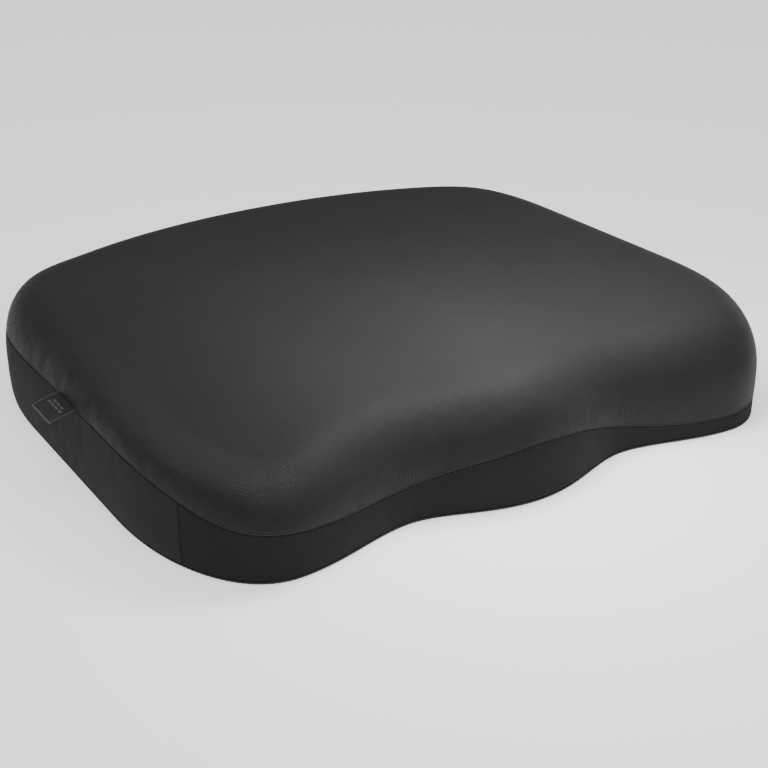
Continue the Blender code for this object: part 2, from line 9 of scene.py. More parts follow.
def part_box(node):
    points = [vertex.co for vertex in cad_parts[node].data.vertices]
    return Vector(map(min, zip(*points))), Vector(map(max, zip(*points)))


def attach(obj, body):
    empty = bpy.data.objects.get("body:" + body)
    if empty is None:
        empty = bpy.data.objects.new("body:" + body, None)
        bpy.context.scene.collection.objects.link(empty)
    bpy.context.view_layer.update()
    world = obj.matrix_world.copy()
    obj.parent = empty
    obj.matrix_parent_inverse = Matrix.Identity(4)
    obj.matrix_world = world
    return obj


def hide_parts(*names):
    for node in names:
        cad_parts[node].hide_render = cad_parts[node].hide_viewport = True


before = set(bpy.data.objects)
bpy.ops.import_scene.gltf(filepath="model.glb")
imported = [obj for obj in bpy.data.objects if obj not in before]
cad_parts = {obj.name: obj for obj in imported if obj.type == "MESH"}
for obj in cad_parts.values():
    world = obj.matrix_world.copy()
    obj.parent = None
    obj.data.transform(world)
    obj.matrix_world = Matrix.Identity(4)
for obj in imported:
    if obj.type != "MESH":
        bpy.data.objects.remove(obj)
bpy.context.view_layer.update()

# ---- The cushion's sizes, as in the CAD source ----

WIDTH = 0.450
DEPTH = 0.400
NOTCH_X = 0.081
NOTCH_DEPTH = 0.019
LOBE_X = 0.163
LOBE_SETBACK = 0.004
BULGE_PULL = 0.034
NOTCH_PULL = 0.024
LOBE_PULL = 0.030
FRONT_CORNER_LENGTH = 0.118
REAR_CORNER_LENGTH = 0.150
REAR_RADIUS = 0.440
REAR_ARC_HALF = 0.145
FRONT_CORNER_FULLNESS = 0.70
REAR_CORNER_FULLNESS = 0.70

TOP_HEIGHT = 0.081
REAR_CORNER_FALL = 0.006
FRONT_FALL = 0.006
FRONT_FALL_LENGTH = 0.110
THIGH_GROOVE_DEPTH = 0.009
THIGH_GROOVE_WIDTH = 0.052
THIGH_GROOVE_LENGTH = 0.240
SEAT_DISH_DEPTH = 0.006
SEAT_DISH_RADIUS = 0.120
SEAT_DISH_SETBACK = 0.270
ROLL_INSET = 0.034
ROLL_START = 0.030

# Height of the top seam: (knot, distance walked past it, height).
SEAM_RIGHT = (("bulge", 0.0, 0.0395), ("bulge", 0.038, 0.0340), ("notch", 0.0, 0.0195),
              ("notch", 0.035, 0.0135), ("lobe", 0.0, 0.0120), ("side_front", 0.0, 0.0160),
              ("side_rear", 0.0, 0.0300), ("arc_end", 0.0, 0.0410))
SEAM_LEFT = (("bulge", 0.038, 0.0345), ("notch", 0.0, 0.0258), ("notch", 0.040, 0.0262),
             ("lobe", 0.0, 0.0300), ("lobe", 0.035, 0.0335), ("lobe", 0.090, 0.0470),
             ("side_front", 0.0, 0.0510), ("side_rear", 0.0, 0.0490), ("arc_end", 0.0, 0.0450))
SEAM_REAR = 0.0430

CLEARANCE = 0.0003
COVER_THICKNESS = 0.0015
BOTTOM_THICKNESS = 0.0012
LINER_THICKNESS = 0.0005
LINER_INSET = COVER_THICKNESS + 0.0013
FOAM_INSET = LINER_INSET + LINER_THICKNESS + CLEARANCE
LINER_SPLIT_HEIGHT = 0.008
ZIP_RELIEF = 0.0018
SEAM_RADIUS = 0.0008
SEAM_GAP = SEAM_RADIUS + CLEARANCE
BAND_SEAM_SETBACK = 0.048

ZIP_HEIGHT = 0.022
ZIP_OPENING = 0.0080
ZIP_END_MARGIN = 0.010
TAPE_WIDTH = 0.0100
TAPE_THICKNESS = 0.0005
TAPE_DEPTH = COVER_THICKNESS + 0.0005
COIL_WIDTH = 0.0017
COIL_THICKNESS = 0.0016
COIL_SPLIT = 0.0014
STOP_LENGTH = 0.0025

SLIDER_LENGTH = 0.0110

LABEL_LENGTH = 0.030
LABEL_REACH = 0.0180
LABEL_THICKNESS = 0.0008
LABEL_SLOPE = math.radians(17)
LABEL_Y = -0.0185

FRONT_Y = -DEPTH / 2
REAR_Y = DEPTH / 2
ARC_CENTRE_Y = REAR_Y - REAR_RADIUS
ARC_END_ANGLE = math.asin(REAR_ARC_HALF / REAR_RADIUS)
KNOTS = ("bulge", "notch", "lobe", "side_front", "side_rear", "arc_end", "rear")

# How the sewn cover departs from the plain foam shape.
LEFT_TUCK = 0.0014
TUCK_HEIGHT = 0.018
TUCK_EASE = 0.060
ROLL_EXPONENT = 2.0
LEFT_EXPONENT = (2.4, 5.0)
LEFT_RIM_LENGTH = 0.20
SHOULDER_FALL = 0.036
SHOULDER_X = 0.090
SHOULDER_REAR_Y = 0.100
SHOULDER_LENGTH = 0.200
SHOULDER_FRONT_Y = 0.030
LIP_RADIUS = 0.0007
SEAM_LIFT = 0.0003
PUCKER = 0.00025
CORNER_GATHER = 0.9
CORNER_GATHER_SETBACK = 0.030
CORNER_GATHER_LENGTH = 0.035
# Turns, share and shift of each wave of the gathers.
GATHER_WAVES = ((61, 0.30, 0.3), (97, 0.35, 1.9), (149, 0.35, 4.1))
GATHER_RISE = 0.003
GATHER_FADE = 0.008
BAND_GATHER_SHIFT = 1.3

# How the cloth simulation holds and fills the panels.
SEWN_REACH = 0.0007
TOP_HOLD = 0.75
TOP_HOLD_START = 0.012
TOP_HOLD_EASE = 0.040
CLOTH_FRAMES = 20
CLOTH = {"quality": 5, "mass": 0.3, "tension_stiffness": 12, "compression_stiffness": 12,
         "shear_stiffness": 4, "bending_stiffness": 0.4, "tension_damping": 10,
         "compression_damping": 10, "shear_damping": 10, "use_pressure": True,
         "vertex_group_mass": "sewn", "pin_stiffness": 2.0}

# Meshes.
BEZIER_STEPS = 60
RINGS = 36
PITCH = 0.0050
PATH_STEPS = 180
SLOPE_STEP = 0.0004
ROLL_ROWS = 12
BASE_RINGS = 24


# ---- Outline and profile ----

def smoothstep(value):
    t = np.clip(value, 0.0, 1.0)
    return t * t * (3 - 2 * t)


def bezier(a, b, c, d):
    t = np.linspace(0, 1, BEZIER_STEPS + 1)[:-1, None]
    a, b, c, d = (np.array(p, float) for p in (a, b, c, d))
    return a * (1 - t) ** 3 + 3 * b * t * (1 - t) ** 2 + 3 * c * t * t * (1 - t) + d * t ** 3


def half_outline():
    """Points of the right half from the front middle to the rear middle, and each knot's index."""
    along = np.array((1.0, 0.0))
    back = np.array((0.0, 1.0))
    bulge = np.array((0.0, FRONT_Y))
    notch = np.array((NOTCH_X, FRONT_Y + NOTCH_DEPTH))
    lobe = np.array((LOBE_X, FRONT_Y + LOBE_SETBACK))
    side_front = np.array((WIDTH / 2, FRONT_Y + FRONT_CORNER_LENGTH))
    side_rear = np.array((WIDTH / 2, REAR_Y - REAR_CORNER_LENGTH))
    arc_end = np.array((REAR_ARC_HALF, ARC_CENTRE_Y + REAR_RADIUS * math.cos(ARC_END_ANGLE)))
    arc_tangent = np.array((-math.cos(ARC_END_ANGLE), math.sin(ARC_END_ANGLE)))
    front_pull = back * (side_front - lobe)[1] * FRONT_CORNER_FULLNESS
    rear_pull = back * (arc_end - side_rear)[1] * REAR_CORNER_FULLNESS
    arc_pull = arc_tangent * (side_rear - arc_end)[0] * REAR_CORNER_FULLNESS
    third = back * (side_rear - side_front)[1] / 3
    spans = (
        (bulge, along * BULGE_PULL, along * NOTCH_PULL, notch),
        (notch, along * NOTCH_PULL, along * LOBE_PULL, lobe),
        (lobe, along * LOBE_PULL, front_pull, side_front),
        (side_front, third, third, side_rear),
        (side_rear, rear_pull, arc_pull, arc_end),
    )
    parts = [bezier(start, start + out, end - into, end) for start, out, into, end in spans]
    angle = ARC_END_ANGLE * (1 - np.linspace(0, 1, BEZIER_STEPS + 1))
    parts.append(np.stack([REAR_RADIUS * np.sin(angle),
                           ARC_CENTRE_Y + REAR_RADIUS * np.cos(angle)], 1))
    knot_at = np.cumsum([0] + [BEZIER_STEPS] * 6)
    return np.concatenate(parts), knot_at


def whole_outline():
    half, knot_at = half_outline()
    points = np.concatenate([half, half[-2::-1] * (-1, 1)])
    steps = np.linalg.norm(np.diff(points, axis=0), axis=1)
    walked = np.concatenate([[0.0], np.cumsum(steps)])
    right = {name: walked[i] for name, i in zip(KNOTS, knot_at)}
    left = {name: walked[-1] - s for name, s in right.items()}
    following = np.concatenate([points[1:-1], points[:1], points[1:2]])
    before = np.concatenate([points[-2:-1], points[:-2], points[-2:-1]])
    tangent = following - before
    tangent /= np.linalg.norm(tangent, axis=1)[:, None]
    return points, walked, right, left, np.stack([tangent[:, 1], -tangent[:, 0]], 1)


POINTS, WALKED, RIGHT, LEFT, NORMALS = whole_outline()
PERIMETER = WALKED[-1]


def wrapped(s):
    """Distances walked, brought into one turn."""
    s = np.asarray(s, float) % PERIMETER
    return np.where(s >= PERIMETER, 0.0, s)


def on_outline(s):
    """Places on the outline, walked s from the front middle, and the outward normals there."""
    s = wrapped(s)
    place = np.stack([np.interp(s, WALKED, POINTS[:, i]) for i in (0, 1)], -1)
    normal = np.stack([np.interp(s, WALKED, NORMALS[:, i]) for i in (0, 1)], -1)
    return place, normal / np.linalg.norm(normal, axis=-1)[..., None]


def seam_marks():
    marks = [(RIGHT[knot] + past, height) for knot, past, height in SEAM_RIGHT]
    marks.append((RIGHT["rear"], SEAM_REAR))
    marks += [(LEFT[knot] - past, height) for knot, past, height in reversed(SEAM_LEFT)]
    before = (marks[-1][0] - PERIMETER, marks[-1][1])
    after = [(s + PERIMETER, height) for s, height in marks[:2]]
    return np.array([before, *marks, *after])


SEAM_MARKS = seam_marks()


def seam_height(s):
    """Height of the top seam, on a smooth curve through its marks."""
    s = wrapped(s)
    at, height = SEAM_MARKS.T
    i = np.searchsorted(at, s, side="right") - 1
    span = at[i + 1] - at[i]
    slope0 = (height[i + 1] - height[i - 1]) / (at[i + 1] - at[i - 1]) * span
    slope1 = (height[i + 2] - height[i]) / (at[i + 2] - at[i]) * span
    t = (s - at[i]) / span
    rise = height[i] + (height[i + 1] - height[i]) * t * t * (3 - 2 * t)
    return rise + slope0 * t * (1 - t) ** 2 - slope1 * t * t * (1 - t)


def shoulder(x, y):
    """How far the filled cover slopes down towards its left front corner."""
    side = smoothstep((-x - SHOULDER_X) / (WIDTH / 2 - SHOULDER_X))
    along = smoothstep((SHOULDER_REAR_Y - y) / SHOULDER_LENGTH)
    front = np.clip((-y - SHOULDER_FRONT_Y) / (DEPTH / 2 - SHOULDER_FRONT_Y), 0, 1)
    return SHOULDER_FALL * side * (0.4 * along + 0.6 * front ** 2)


def top_height(x, y):
    """Height of the sitting surface: crowned, grooved for the thighs and dished under the seat."""
    corner = REAR_CORNER_FALL * (2 * x / WIDTH) ** 2 * (1 + 2 * y / DEPTH) / 2
    front = FRONT_FALL * (1 - smoothstep((y - FRONT_Y) / FRONT_FALL_LENGTH)) ** 2
    reach = 1 - smoothstep((y - FRONT_Y) / THIGH_GROOVE_LENGTH)
    across = (np.abs(x) - NOTCH_X) / THIGH_GROOVE_WIDTH
    groove = THIGH_GROOVE_DEPTH * reach * np.exp(-across * across)
    from_seat = np.hypot(x, y - FRONT_Y - SEAT_DISH_SETBACK) / SEAT_DISH_RADIUS
    dish = SEAT_DISH_DEPTH * np.exp(-from_seat * from_seat)
    return TOP_HEIGHT - corner - front - groove - dish - shoulder(x, y)


def band_marks():
    past = (POINTS[:, 0] > LOBE_X) & (POINTS[:, 1] > FRONT_Y + BAND_SEAM_SETBACK)
    front_right = WALKED[np.argmax(past)]
    return {"front_right": front_right, "rear_right": RIGHT["arc_end"],
            "rear_left": LEFT["arc_end"], "front_left": PERIMETER - front_right}


MARKS = band_marks()


def relief(s):
    """Extra inset of the inner layers behind the zip."""
    s = wrapped(s)
    nearest = np.maximum(np.maximum(RIGHT["arc_end"] - s, s - LEFT["arc_end"]), 0.0)
    return ZIP_RELIEF * (1 - smoothstep(nearest / REAR_CORNER_LENGTH * 2))


def on_left(s):
    """1 along the left side and 0 elsewhere, with a smooth change at the corners."""
    s = wrapped(s)
    rear = smoothstep((s - LEFT["arc_end"]) / TUCK_EASE)
    front = smoothstep((MARKS["front_left"] + TUCK_EASE - s) / TUCK_EASE)
    return rear * front


def squareness(s):
    """Exponent of the rolled edge's curve: 2 is an ellipse, and more is a tighter corner."""
    low, high = LEFT_EXPONENT
    left = low + (high - low) * smoothstep((wrapped(s) - LEFT["side_rear"]) / LEFT_RIM_LENGTH)
    return ROLL_EXPONENT + (left - ROLL_EXPONENT) * on_left(s)


def lean(s, z):
    """How far the wall stands out of its plumb line: tucked in under the base."""
    low = np.clip(1 - z / TUCK_HEIGHT, 0, 1)
    return -LEFT_TUCK * on_left(s) * low ** 2


class Wall:
    """The wall and rolled edge over a row of stations, measured by the distance up the cloth."""

    def __init__(self, s):
        self.s = np.asarray(s, float)
        self.place, self.normal = on_outline(self.s)
        edge = self.place - self.normal * ROLL_INSET
        rise = top_height(edge[:, 0], edge[:, 1]) - ROLL_START
        q = np.linspace(-1, 1, PATH_STEPS)
        angle = smoothstep(q) * math.pi / 2
        power = 2 / squareness(self.s)[:, None]
        self.z = ROLL_START * (1 + np.minimum(q, 0)) + rise[:, None] * np.sin(angle) ** power
        self.out = -ROLL_INSET * (1 - np.cos(angle) ** power) + lean(self.s[:, None], self.z)
        steps = np.hypot(np.diff(self.z, axis=1), np.diff(self.out, axis=1))
        self.length = np.concatenate([np.zeros((len(self.s), 1)), np.cumsum(steps, axis=1)], 1)
        self.total = self.length[:, -1]

    def _read(self, values, at):
        return np.array([np.interp(a, l, v) for a, l, v in zip(at, self.length, values)])

    def up_to(self, z):
        """Distance up the cloth to each height."""
        return np.array([np.interp(h, zs, l) for h, zs, l in zip(z, self.z, self.length)])

    def points(self, at, depth=0.0):
        """Points at these distances up the cloth, each this deep under its outer face."""
        step = SLOPE_STEP
        z = self._read(self.z, at)
        out = self._read(self.out, at)
        dz = self._read(self.z, at + step) - self._read(self.z, at - step)
        dout = self._read(self.out, at + step) - self._read(self.out, at - step)
        size = np.hypot(dz, dout) + 1e-12
        depth = np.broadcast_to(np.asarray(depth, float), z.shape)
        out = out - depth * dz / size
        z = z + depth * dout / size
        flat = self.place + self.normal * out[:, None]
        return np.column_stack([flat, z])


def lip(distance):
    """Depth at which cloth turned into a seam lies, this far from the seam."""
    t = np.clip(1 - distance / LIP_RADIUS, 0, 1)
    return LIP_RADIUS * (1 - np.sqrt(np.maximum(1 - t * t, 0)))


EDGE_STEPS = (0.0, 0.0005, 0.0012, 0.0022, 0.0038, 0.0062, 0.0095)


def evenly(start, end, pitch=PITCH):
    count = max(2, round((end - start) / pitch))
    return np.linspace(start, end, count + 1)


def gathers(s, distance, phase=0.0):
    """Depth of the small uneven gathers along a seam, this far from it."""
    wave = np.zeros_like(s)
    for turns, share, shift in GATHER_WAVES:
        wave += share * np.sin(math.tau * turns * s / PERIMETER + shift + phase)
    past_corner = (wrapped(s) - MARKS["front_left"] + CORNER_GATHER_SETBACK) / CORNER_GATHER_LENGTH
    size = wave * (1 + CORNER_GATHER * np.exp(-past_corner ** 2))
    return PUCKER * size * (distance / GATHER_RISE) * np.exp(-distance / GATHER_FADE)


# ---- Mesh helpers ----

def placed(name, mesh, mat, body):
    mesh.materials.append(mat)
    obj = bpy.data.objects.new(name, mesh)
    bpy.context.scene.collection.objects.link(obj)
    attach(obj, body)
    return obj


def add(name, verts, faces, mat, body, slot_name):
    mesh = bpy.data.meshes.new(name)
    mesh.from_pydata([tuple(v) for v in verts], [], faces)
    mesh.update()
    mesh.shade_smooth()
    return placed(name, mesh, mat, body)


def dressed(name, mesh, mat, body, slot_name, *nodes):
    """A hard piece: smooth faces between sharp edges."""
    mesh.shade_smooth()
    mesh.set_sharp_from_angle(angle=math.radians(40))
    obj = placed(name, mesh, mat, body)
    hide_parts(*nodes)
    return obj


def outwards(obj, sharp=None):
    """Turns the faces outwards, and marks the edges sharper than this many degrees."""
    bm = bmesh.new()
    bm.from_mesh(obj.data)
    bmesh.ops.recalc_face_normals(bm, faces=bm.faces)
    bm.to_mesh(obj.data)
    bm.free()
    if sharp:
        obj.data.set_sharp_from_angle(angle=math.radians(sharp))


def grid_faces(rows, columns, closed=False, looped=False):
    """Quads of a grid: closed joins each row's ends, and looped joins the last row to the first."""
    faces = []
    for r in range(rows if looped else rows - 1):
        low, high = r * columns, (r + 1) % rows * columns
        for c in range(columns if closed else columns - 1):
            d = (c + 1) % columns
            faces.append((low + c, low + d, high + d, high + c))
    return faces


def tube_faces(rows, sides, looped=False):
    """Faces of a tube of rings, its ends closed unless it is a loop."""
    faces = grid_faces(rows, sides, closed=True, looped=looped)
    if not looped:
        faces.append(tuple(reversed(range(sides))))
        faces.append(tuple((rows - 1) * sides + k for k in range(sides)))
    return faces


def sleeve_faces(rows, columns):
    """Faces of a flat sleeve made of lengthwise rows, its ends closed."""
    faces = grid_faces(rows, columns, looped=True)
    faces.append(tuple(r * columns for r in range(rows)))
    faces.append(tuple(r * columns + columns - 1 for r in reversed(range(rows))))
    return faces


def flipped(faces):
    return [tuple(reversed(face)) for face in faces]


def level(flat, z):
    """Flat places at one height, or at a height for each."""
    return np.column_stack([flat, np.broadcast_to(z, len(flat))])


def set_map(obj, flat):
    """Stores the cloth's flat cut, in metres, as the map that its knit follows."""
    layer = obj.data.uv_layers.new(name="cut")
    at = np.empty(len(obj.data.loops), np.int32)
    obj.data.loops.foreach_get("vertex_index", at)
    layer.data.foreach_set("uv", np.asarray(flat, np.float32)[at].ravel())


def apply_modifiers(obj):
    bpy.context.view_layer.update()
    graph = bpy.context.evaluated_depsgraph_get()
    done = bpy.data.meshes.new_from_object(obj.evaluated_get(graph))
    obj.modifiers.clear()
    old = obj.data
    obj.data = done
    bpy.data.meshes.remove(old)
    done.name = obj.name


def coordinates(obj, kind=float):
    co = np.empty(len(obj.data.vertices) * 3, np.float32)
    obj.data.vertices.foreach_get("co", co)
    return co.reshape(-1, 3).astype(kind)


def relax(obj, pins, pressure, excess, cap):
    """Cloth simulation of a sewn panel: pinned where it is sewn, pushed out by the filling."""
    scene = bpy.context.scene
    before = coordinates(obj)
    held = obj.vertex_groups.new(name="sewn")
    for i, pin in enumerate(pins):
        held.add([i], float(pin), "REPLACE")
    cloth = obj.modifiers.new("cloth", "CLOTH")
    for key, value in CLOTH.items():
        setattr(cloth.settings, key, value)
    cloth.settings.shrink_min = -excess
    cloth.settings.uniform_pressure_force = pressure
    cloth.settings.effector_weights.gravity = 0
    cloth.collision_settings.use_collision = False
    cloth.point_cache.frame_start = 1
    cloth.point_cache.frame_end = CLOTH_FRAMES
    for number in range(1, CLOTH_FRAMES + 1):
        scene.frame_set(number)
    moved = obj.evaluated_get(bpy.context.evaluated_depsgraph_get())
    after = coordinates(moved, np.float32)
    obj.modifiers.clear()
    scene.frame_set(1)
    step = after - before
    size = np.linalg.norm(step, axis=1)
    step *= (np.minimum(size, cap) / np.maximum(size, 1e-9))[:, None]
    obj.data.vertices.foreach_set("co", (before + step).astype(np.float32).ravel())
    obj.data.update()


def thicken(obj, thickness, levels=1):
    solid = obj.modifiers.new("thickness", "SOLIDIFY")
    solid.thickness = thickness
    solid.offset = -1
    solid.use_even_offset = False
    smooth = obj.modifiers.new("smooth", "SUBSURF")
    smooth.levels = smooth.render_levels = levels
    apply_modifiers(obj)
    obj.data.shade_smooth()


# ---- Materials ----

class Nodes:
    """A material's node tree, with short calls for the nodes that the materials share."""

    def __init__(self, name, colour, roughness, metallic=0.0):
        self.mat = bpy.data.materials.new(name)
        self.mat.use_nodes = True
        self.tree = self.mat.node_tree
        self.shader = self.tree.nodes["Principled BSDF"]
        self.colour = colour
        self.shade({"Base Color": (*colour, 1), "Roughness": roughness, "Metallic": metallic})

    def shade(self, values):
        """Sets constants on the shader's own sockets."""
        for key, value in values.items():
            self.shader.inputs[key].default_value = value

    def new(self, kind, vector=None, **values):
        made = self.tree.nodes.new(kind)
        for key, value in values.items():
            if key in made.inputs:
                made.inputs[key].default_value = value
            else:
                setattr(made, key, value)
        if vector is not None:
            self.link(vector, made.inputs["Vector"])
        return made

    def link(self, a, b):
        self.tree.links.new(a, b)

    def cut_map(self):
        return self.new("ShaderNodeUVMap", uv_map="cut").outputs["UV"]

    def place(self):
        return self.new("ShaderNodeTexCoord").outputs["Object"]

    def turned(self, vector, angle):
        return self.new("ShaderNodeMapping", vector, Rotation=(0, 0, angle)).outputs["Vector"]

    def ribs(self, vector, pitch, direction="X", wobble=0.0):
        """Rounded ribs at this pitch, in metres."""
        made = self.new("ShaderNodeTexWave", vector, wave_type="BANDS", bands_direction=direction,
                        wave_profile="SIN", Scale=math.tau / 20 / pitch, Distortion=wobble,
                        Detail=1.0, **{"Detail Scale": 0.4})
        return made.outputs["Fac"]

    def noise(self, vector, size, detail=2.0):
        return self.new("ShaderNodeTexNoise", vector, Scale=1 / size, Detail=detail).outputs["Fac"]

    def calc(self, operation, a, b):
        """A sum on two values, each of them a socket or a number."""
        made = self.new("ShaderNodeMath", operation=operation)
        for value, socket in zip((a, b), made.inputs):
            if isinstance(value, (int, float)):
                socket.default_value = value
            else:
                self.link(value, socket)
        return made.outputs[0]

    def sum(self, *weighted):
        """Weighted sum of values."""
        first, *others = (self.calc("MULTIPLY", value, weight) for value, weight in weighted)
        for other in others:
            first = self.calc("ADD", first, other)
        return first

    def within(self, value, low, high):
        """1 between two numbers and 0 elsewhere."""
        return self.calc("MULTIPLY", self.calc("GREATER_THAN", value, low),
                         self.calc("LESS_THAN", value, high))

    def painted_overhead_shade(self):
        """0 where the cloth stands upright and 1 where it lies flat: painted shade that darkens the
        upright cloth as if lit from above.
        """
        split = self.new("ShaderNodeSeparateXYZ")
        self.link(self.new("ShaderNodeNewGeometry").outputs["Normal"], split.inputs[0])
        return self.ranged(split.outputs["Z"], 0.0, 1.0, start=0.30, end=0.80)

    def ranged(self, value, low, high, start=0.0, end=1.0):
        made = self.new("ShaderNodeMapRange", **{"From Min": start, "From Max": end,
                                                 "To Min": low, "To Max": high})
        self.link(value, made.inputs["Value"])
        return made.outputs["Result"]

    def blend(self, value, *colours):
        """Base colour that runs from one colour to another."""
        mix = self.new("ShaderNodeMix", data_type="RGBA")
        for socket, colour in zip([i for i in mix.inputs if i.type == "RGBA"], colours):
            socket.default_value = (*colour, 1)
        self.link(value, mix.inputs["Factor"])
        result = next(o for o in mix.outputs if o.type == "RGBA")
        self.link(result, self.shader.inputs["Base Color"])

    def tint(self, value, dark, light):
        """Base colour that runs from dark to light times its own."""
        self.blend(value, *([c * share for c in self.colour] for share in (dark, light)))

    def rough(self, value, low, high):
        self.link(self.ranged(value, low, high), self.shader.inputs["Roughness"])

    def bump(self, height, distance):
        made = self.new("ShaderNodeBump", Strength=1.0, Distance=distance)
        self.link(height, made.inputs["Height"])
        self.link(made.outputs["Normal"], self.shader.inputs["Normal"])

    def finish(self, gloss, sheen, sheen_roughness):
        self.shade({"Specular IOR Level": gloss, "Sheen Weight": sheen,
                    "Sheen Roughness": sheen_roughness, "Sheen Tint": (1, 1, 1, 1)})
        return self.mat


def knit(name, colour, pitch, angle, cross, depth, sheen):
    """Warp-knitted cover: rounded ribs, the rows of loops across them, and loose fibres."""
    n = Nodes(name, colour, 0.8)
    flat = n.cut_map()
    ribs = n.ribs(n.turned(flat, angle), pitch, "X", wobble=0.6)
    loops = n.ribs(n.turned(flat, angle), cross, "Y", wobble=0.9)
    weave = n.calc("MULTIPLY", ribs, n.ranged(loops, 0.55, 1.0))
    fuzz = n.noise(flat, 0.0012, 3.0)
    patch = n.noise(flat, 0.055)
    n.bump(n.sum((weave, 1.0), (fuzz, 0.35)), depth)
    # Base colour: the weave term darkens the rib valleys, painted shade; fuzz and patch vary the
    # tone at random; the last term is painted shade, darker where the cloth stands upright, as if
    # lit from above.
    n.tint(n.sum((weave, 0.34), (fuzz, 0.22), (patch, 0.22), (n.painted_overhead_shade(), 0.52)), 0.44, 1.17)
    n.rough(n.sum((weave, 0.5), (patch, 0.5)), 0.66, 0.46)
    return n.finish(gloss=0.10, sheen=sheen, sheen_roughness=0.45)


def plain_weave(name, colour, pitch, depth, sheen):
    """Tight plain weave: two crossed sets of threads over and under each other."""
    n = Nodes(name, colour, 0.8)
    flat = n.cut_map()
    warp = n.ribs(flat, pitch, "X", wobble=0.4)
    weft = n.ribs(flat, pitch * 1.1, "Y", wobble=0.4)
    checks = n.sum((warp, 0.5), (weft, 0.5))
    fuzz = n.noise(flat, 0.0010, 3.0)
    patch = n.noise(flat, 0.040)
    n.bump(n.sum((checks, 1.0), (fuzz, 0.5)), depth)
    # Base colour: the checks term darkens the low parts of the weave, painted shade; fuzz and patch
    # vary the tone at random.
    n.tint(n.sum((checks, 0.4), (fuzz, 0.3), (patch, 0.3)), 0.75, 1.25)
    n.rough(n.sum((checks, 0.5), (patch, 0.5)), 0.90, 0.72)
    return n.finish(gloss=0.06, sheen=sheen, sheen_roughness=0.5)


def thread_material(name, colour):
    """Twisted polyester thread."""
    n = Nodes(name, colour, 0.6)
    at = n.place()
    fibres = n.noise(at, 0.0006)
    shade = n.noise(at, 0.012, 1.0)
    n.bump(fibres, 0.0001)
    n.tint(n.sum((fibres, 0.6), (shade, 0.4)), 0.7, 1.35)
    n.rough(fibres, 0.85, 0.6)
    return n.finish(gloss=0.15, sheen=0.05, sheen_roughness=0.4)


def moulded(name, colour, low, high, metallic=0.0, grain=0.0008):
    """Plastic or lacquered metal with fine grain and handling marks."""
    n = Nodes(name, colour, low, metallic)
    at = n.place()
    fine = n.noise(at, grain, 3.0)
    worn = n.noise(at, 0.006, 3.0)
    n.bump(fine, 0.00003)
    n.tint(worn, 0.8, 1.25)
    n.rough(n.sum((fine, 0.4), (worn, 0.6)), low, high)
    return n.mat


def foam_material():
    """Open-cell foam."""
    n = Nodes("memory_foam", (0.62, 0.60, 0.52), 0.9)
    at = n.place()
    cells = n.new("ShaderNodeTexVoronoi", at, Scale=900.0).outputs["Distance"]
    cloud = n.noise(at, 0.03)
    n.bump(cells, 0.0004)
    n.tint(n.sum((cells, 0.4), (cloud, 0.6)), 0.85, 1.1)
    n.rough(cloud, 0.85, 0.98)
    return n.mat


# The label's woven mark: short bars in two rows, and a thin frame on three edges.
MARK_LENGTH = 0.0042
MARK_WIDTH = 0.0015
MARK_ROWS = ((0.0076, (-0.0104, -0.0049, 0.0006, 0.0061)), (0.0050, (-0.0077, -0.0022, 0.0033)))
MARK_COLOUR = (0.13, 0.13, 0.132)
FRAME_WIDTH = 0.0007


def label_material():
    """Woven satin ribbon with a plain woven mark: seven short bars in two rows, and light edges."""
    n = Nodes("woven_label", (0.030, 0.030, 0.0304), 0.55)
    flat = n.cut_map()
    threads = n.ribs(flat, 0.00045, "X", wobble=0.3)
    picks = n.ribs(flat, 0.0006, "Y", wobble=0.3)
    weave = n.sum((threads, 0.6), (picks, 0.4))
    split = n.new("ShaderNodeSeparateXYZ")
    n.link(flat, split.inputs[0])
    along, across = split.outputs[0], split.outputs[1]
    shapes = [n.calc("MULTIPLY", n.within(along, start, start + MARK_LENGTH),
                     n.within(across, low, low + MARK_WIDTH))
              for low, starts in MARK_ROWS for start in starts]
    half = LABEL_LENGTH / 2
    shapes += [n.within(along, -half, -half + FRAME_WIDTH),
               n.within(along, half - FRAME_WIDTH, half),
               n.within(across, LABEL_REACH - 0.0009, LABEL_REACH + 0.001)]
    mark = shapes[0]
    for shape in shapes[1:]:
        mark = n.calc("MAXIMUM", mark, shape)
    n.blend(n.calc("MULTIPLY", mark, n.ranged(weave, 0.55, 1.0)), n.colour, MARK_COLOUR)
    n.bump(n.sum((weave, 1.0), (mark, 0.8)), 0.00012)
    n.rough(weave, 0.75, 0.55)
    return n.finish(gloss=0.15, sheen=0.03, sheen_roughness=0.35)


# ---- Cover ----

SEAM_LEVEL = LIP_RADIUS
MIDDLE = np.array((0.0, (FRONT_Y + NOTCH_DEPTH + REAR_Y) / 2))


def lattice(edge, count):
    """Grid inside a closed edge of 8 * count points: its inner places, and what makes its faces."""
    around = 8 * count
    index = {}
    flat = []
    for i in range(-count, count + 1):
        for j in range(-count, count + 1):
            k = max(abs(i), abs(j))
            if j == -k:
                step = i + k
            elif i == k:
                step = 3 * k + j
            elif j == k:
                step = 5 * k - i
            else:
                step = 7 * k - j
            if k == count:
                index[i, j] = (0, step % around)
                continue
            at = step * count / k if k else 0.0
            low = int(at) % around
            part = at - int(at)
            on_edge = edge[low] * (1 - part) + edge[(low + 1) % around] * part
            index[i, j] = (1, len(flat))
            flat.append(MIDDLE + (on_edge - MIDDLE) * (k / count))

    def faces(*firsts):
        """Quads, given the first vertex of the edge and of the inner places."""
        vertex = {at: firsts[kind] + number for at, (kind, number) in index.items()}
        return [(vertex[i, j], vertex[i + 1, j], vertex[i + 1, j + 1], vertex[i, j + 1])
                for i in range(-count, count) for j in range(-count, count)]

    return np.array(flat), faces


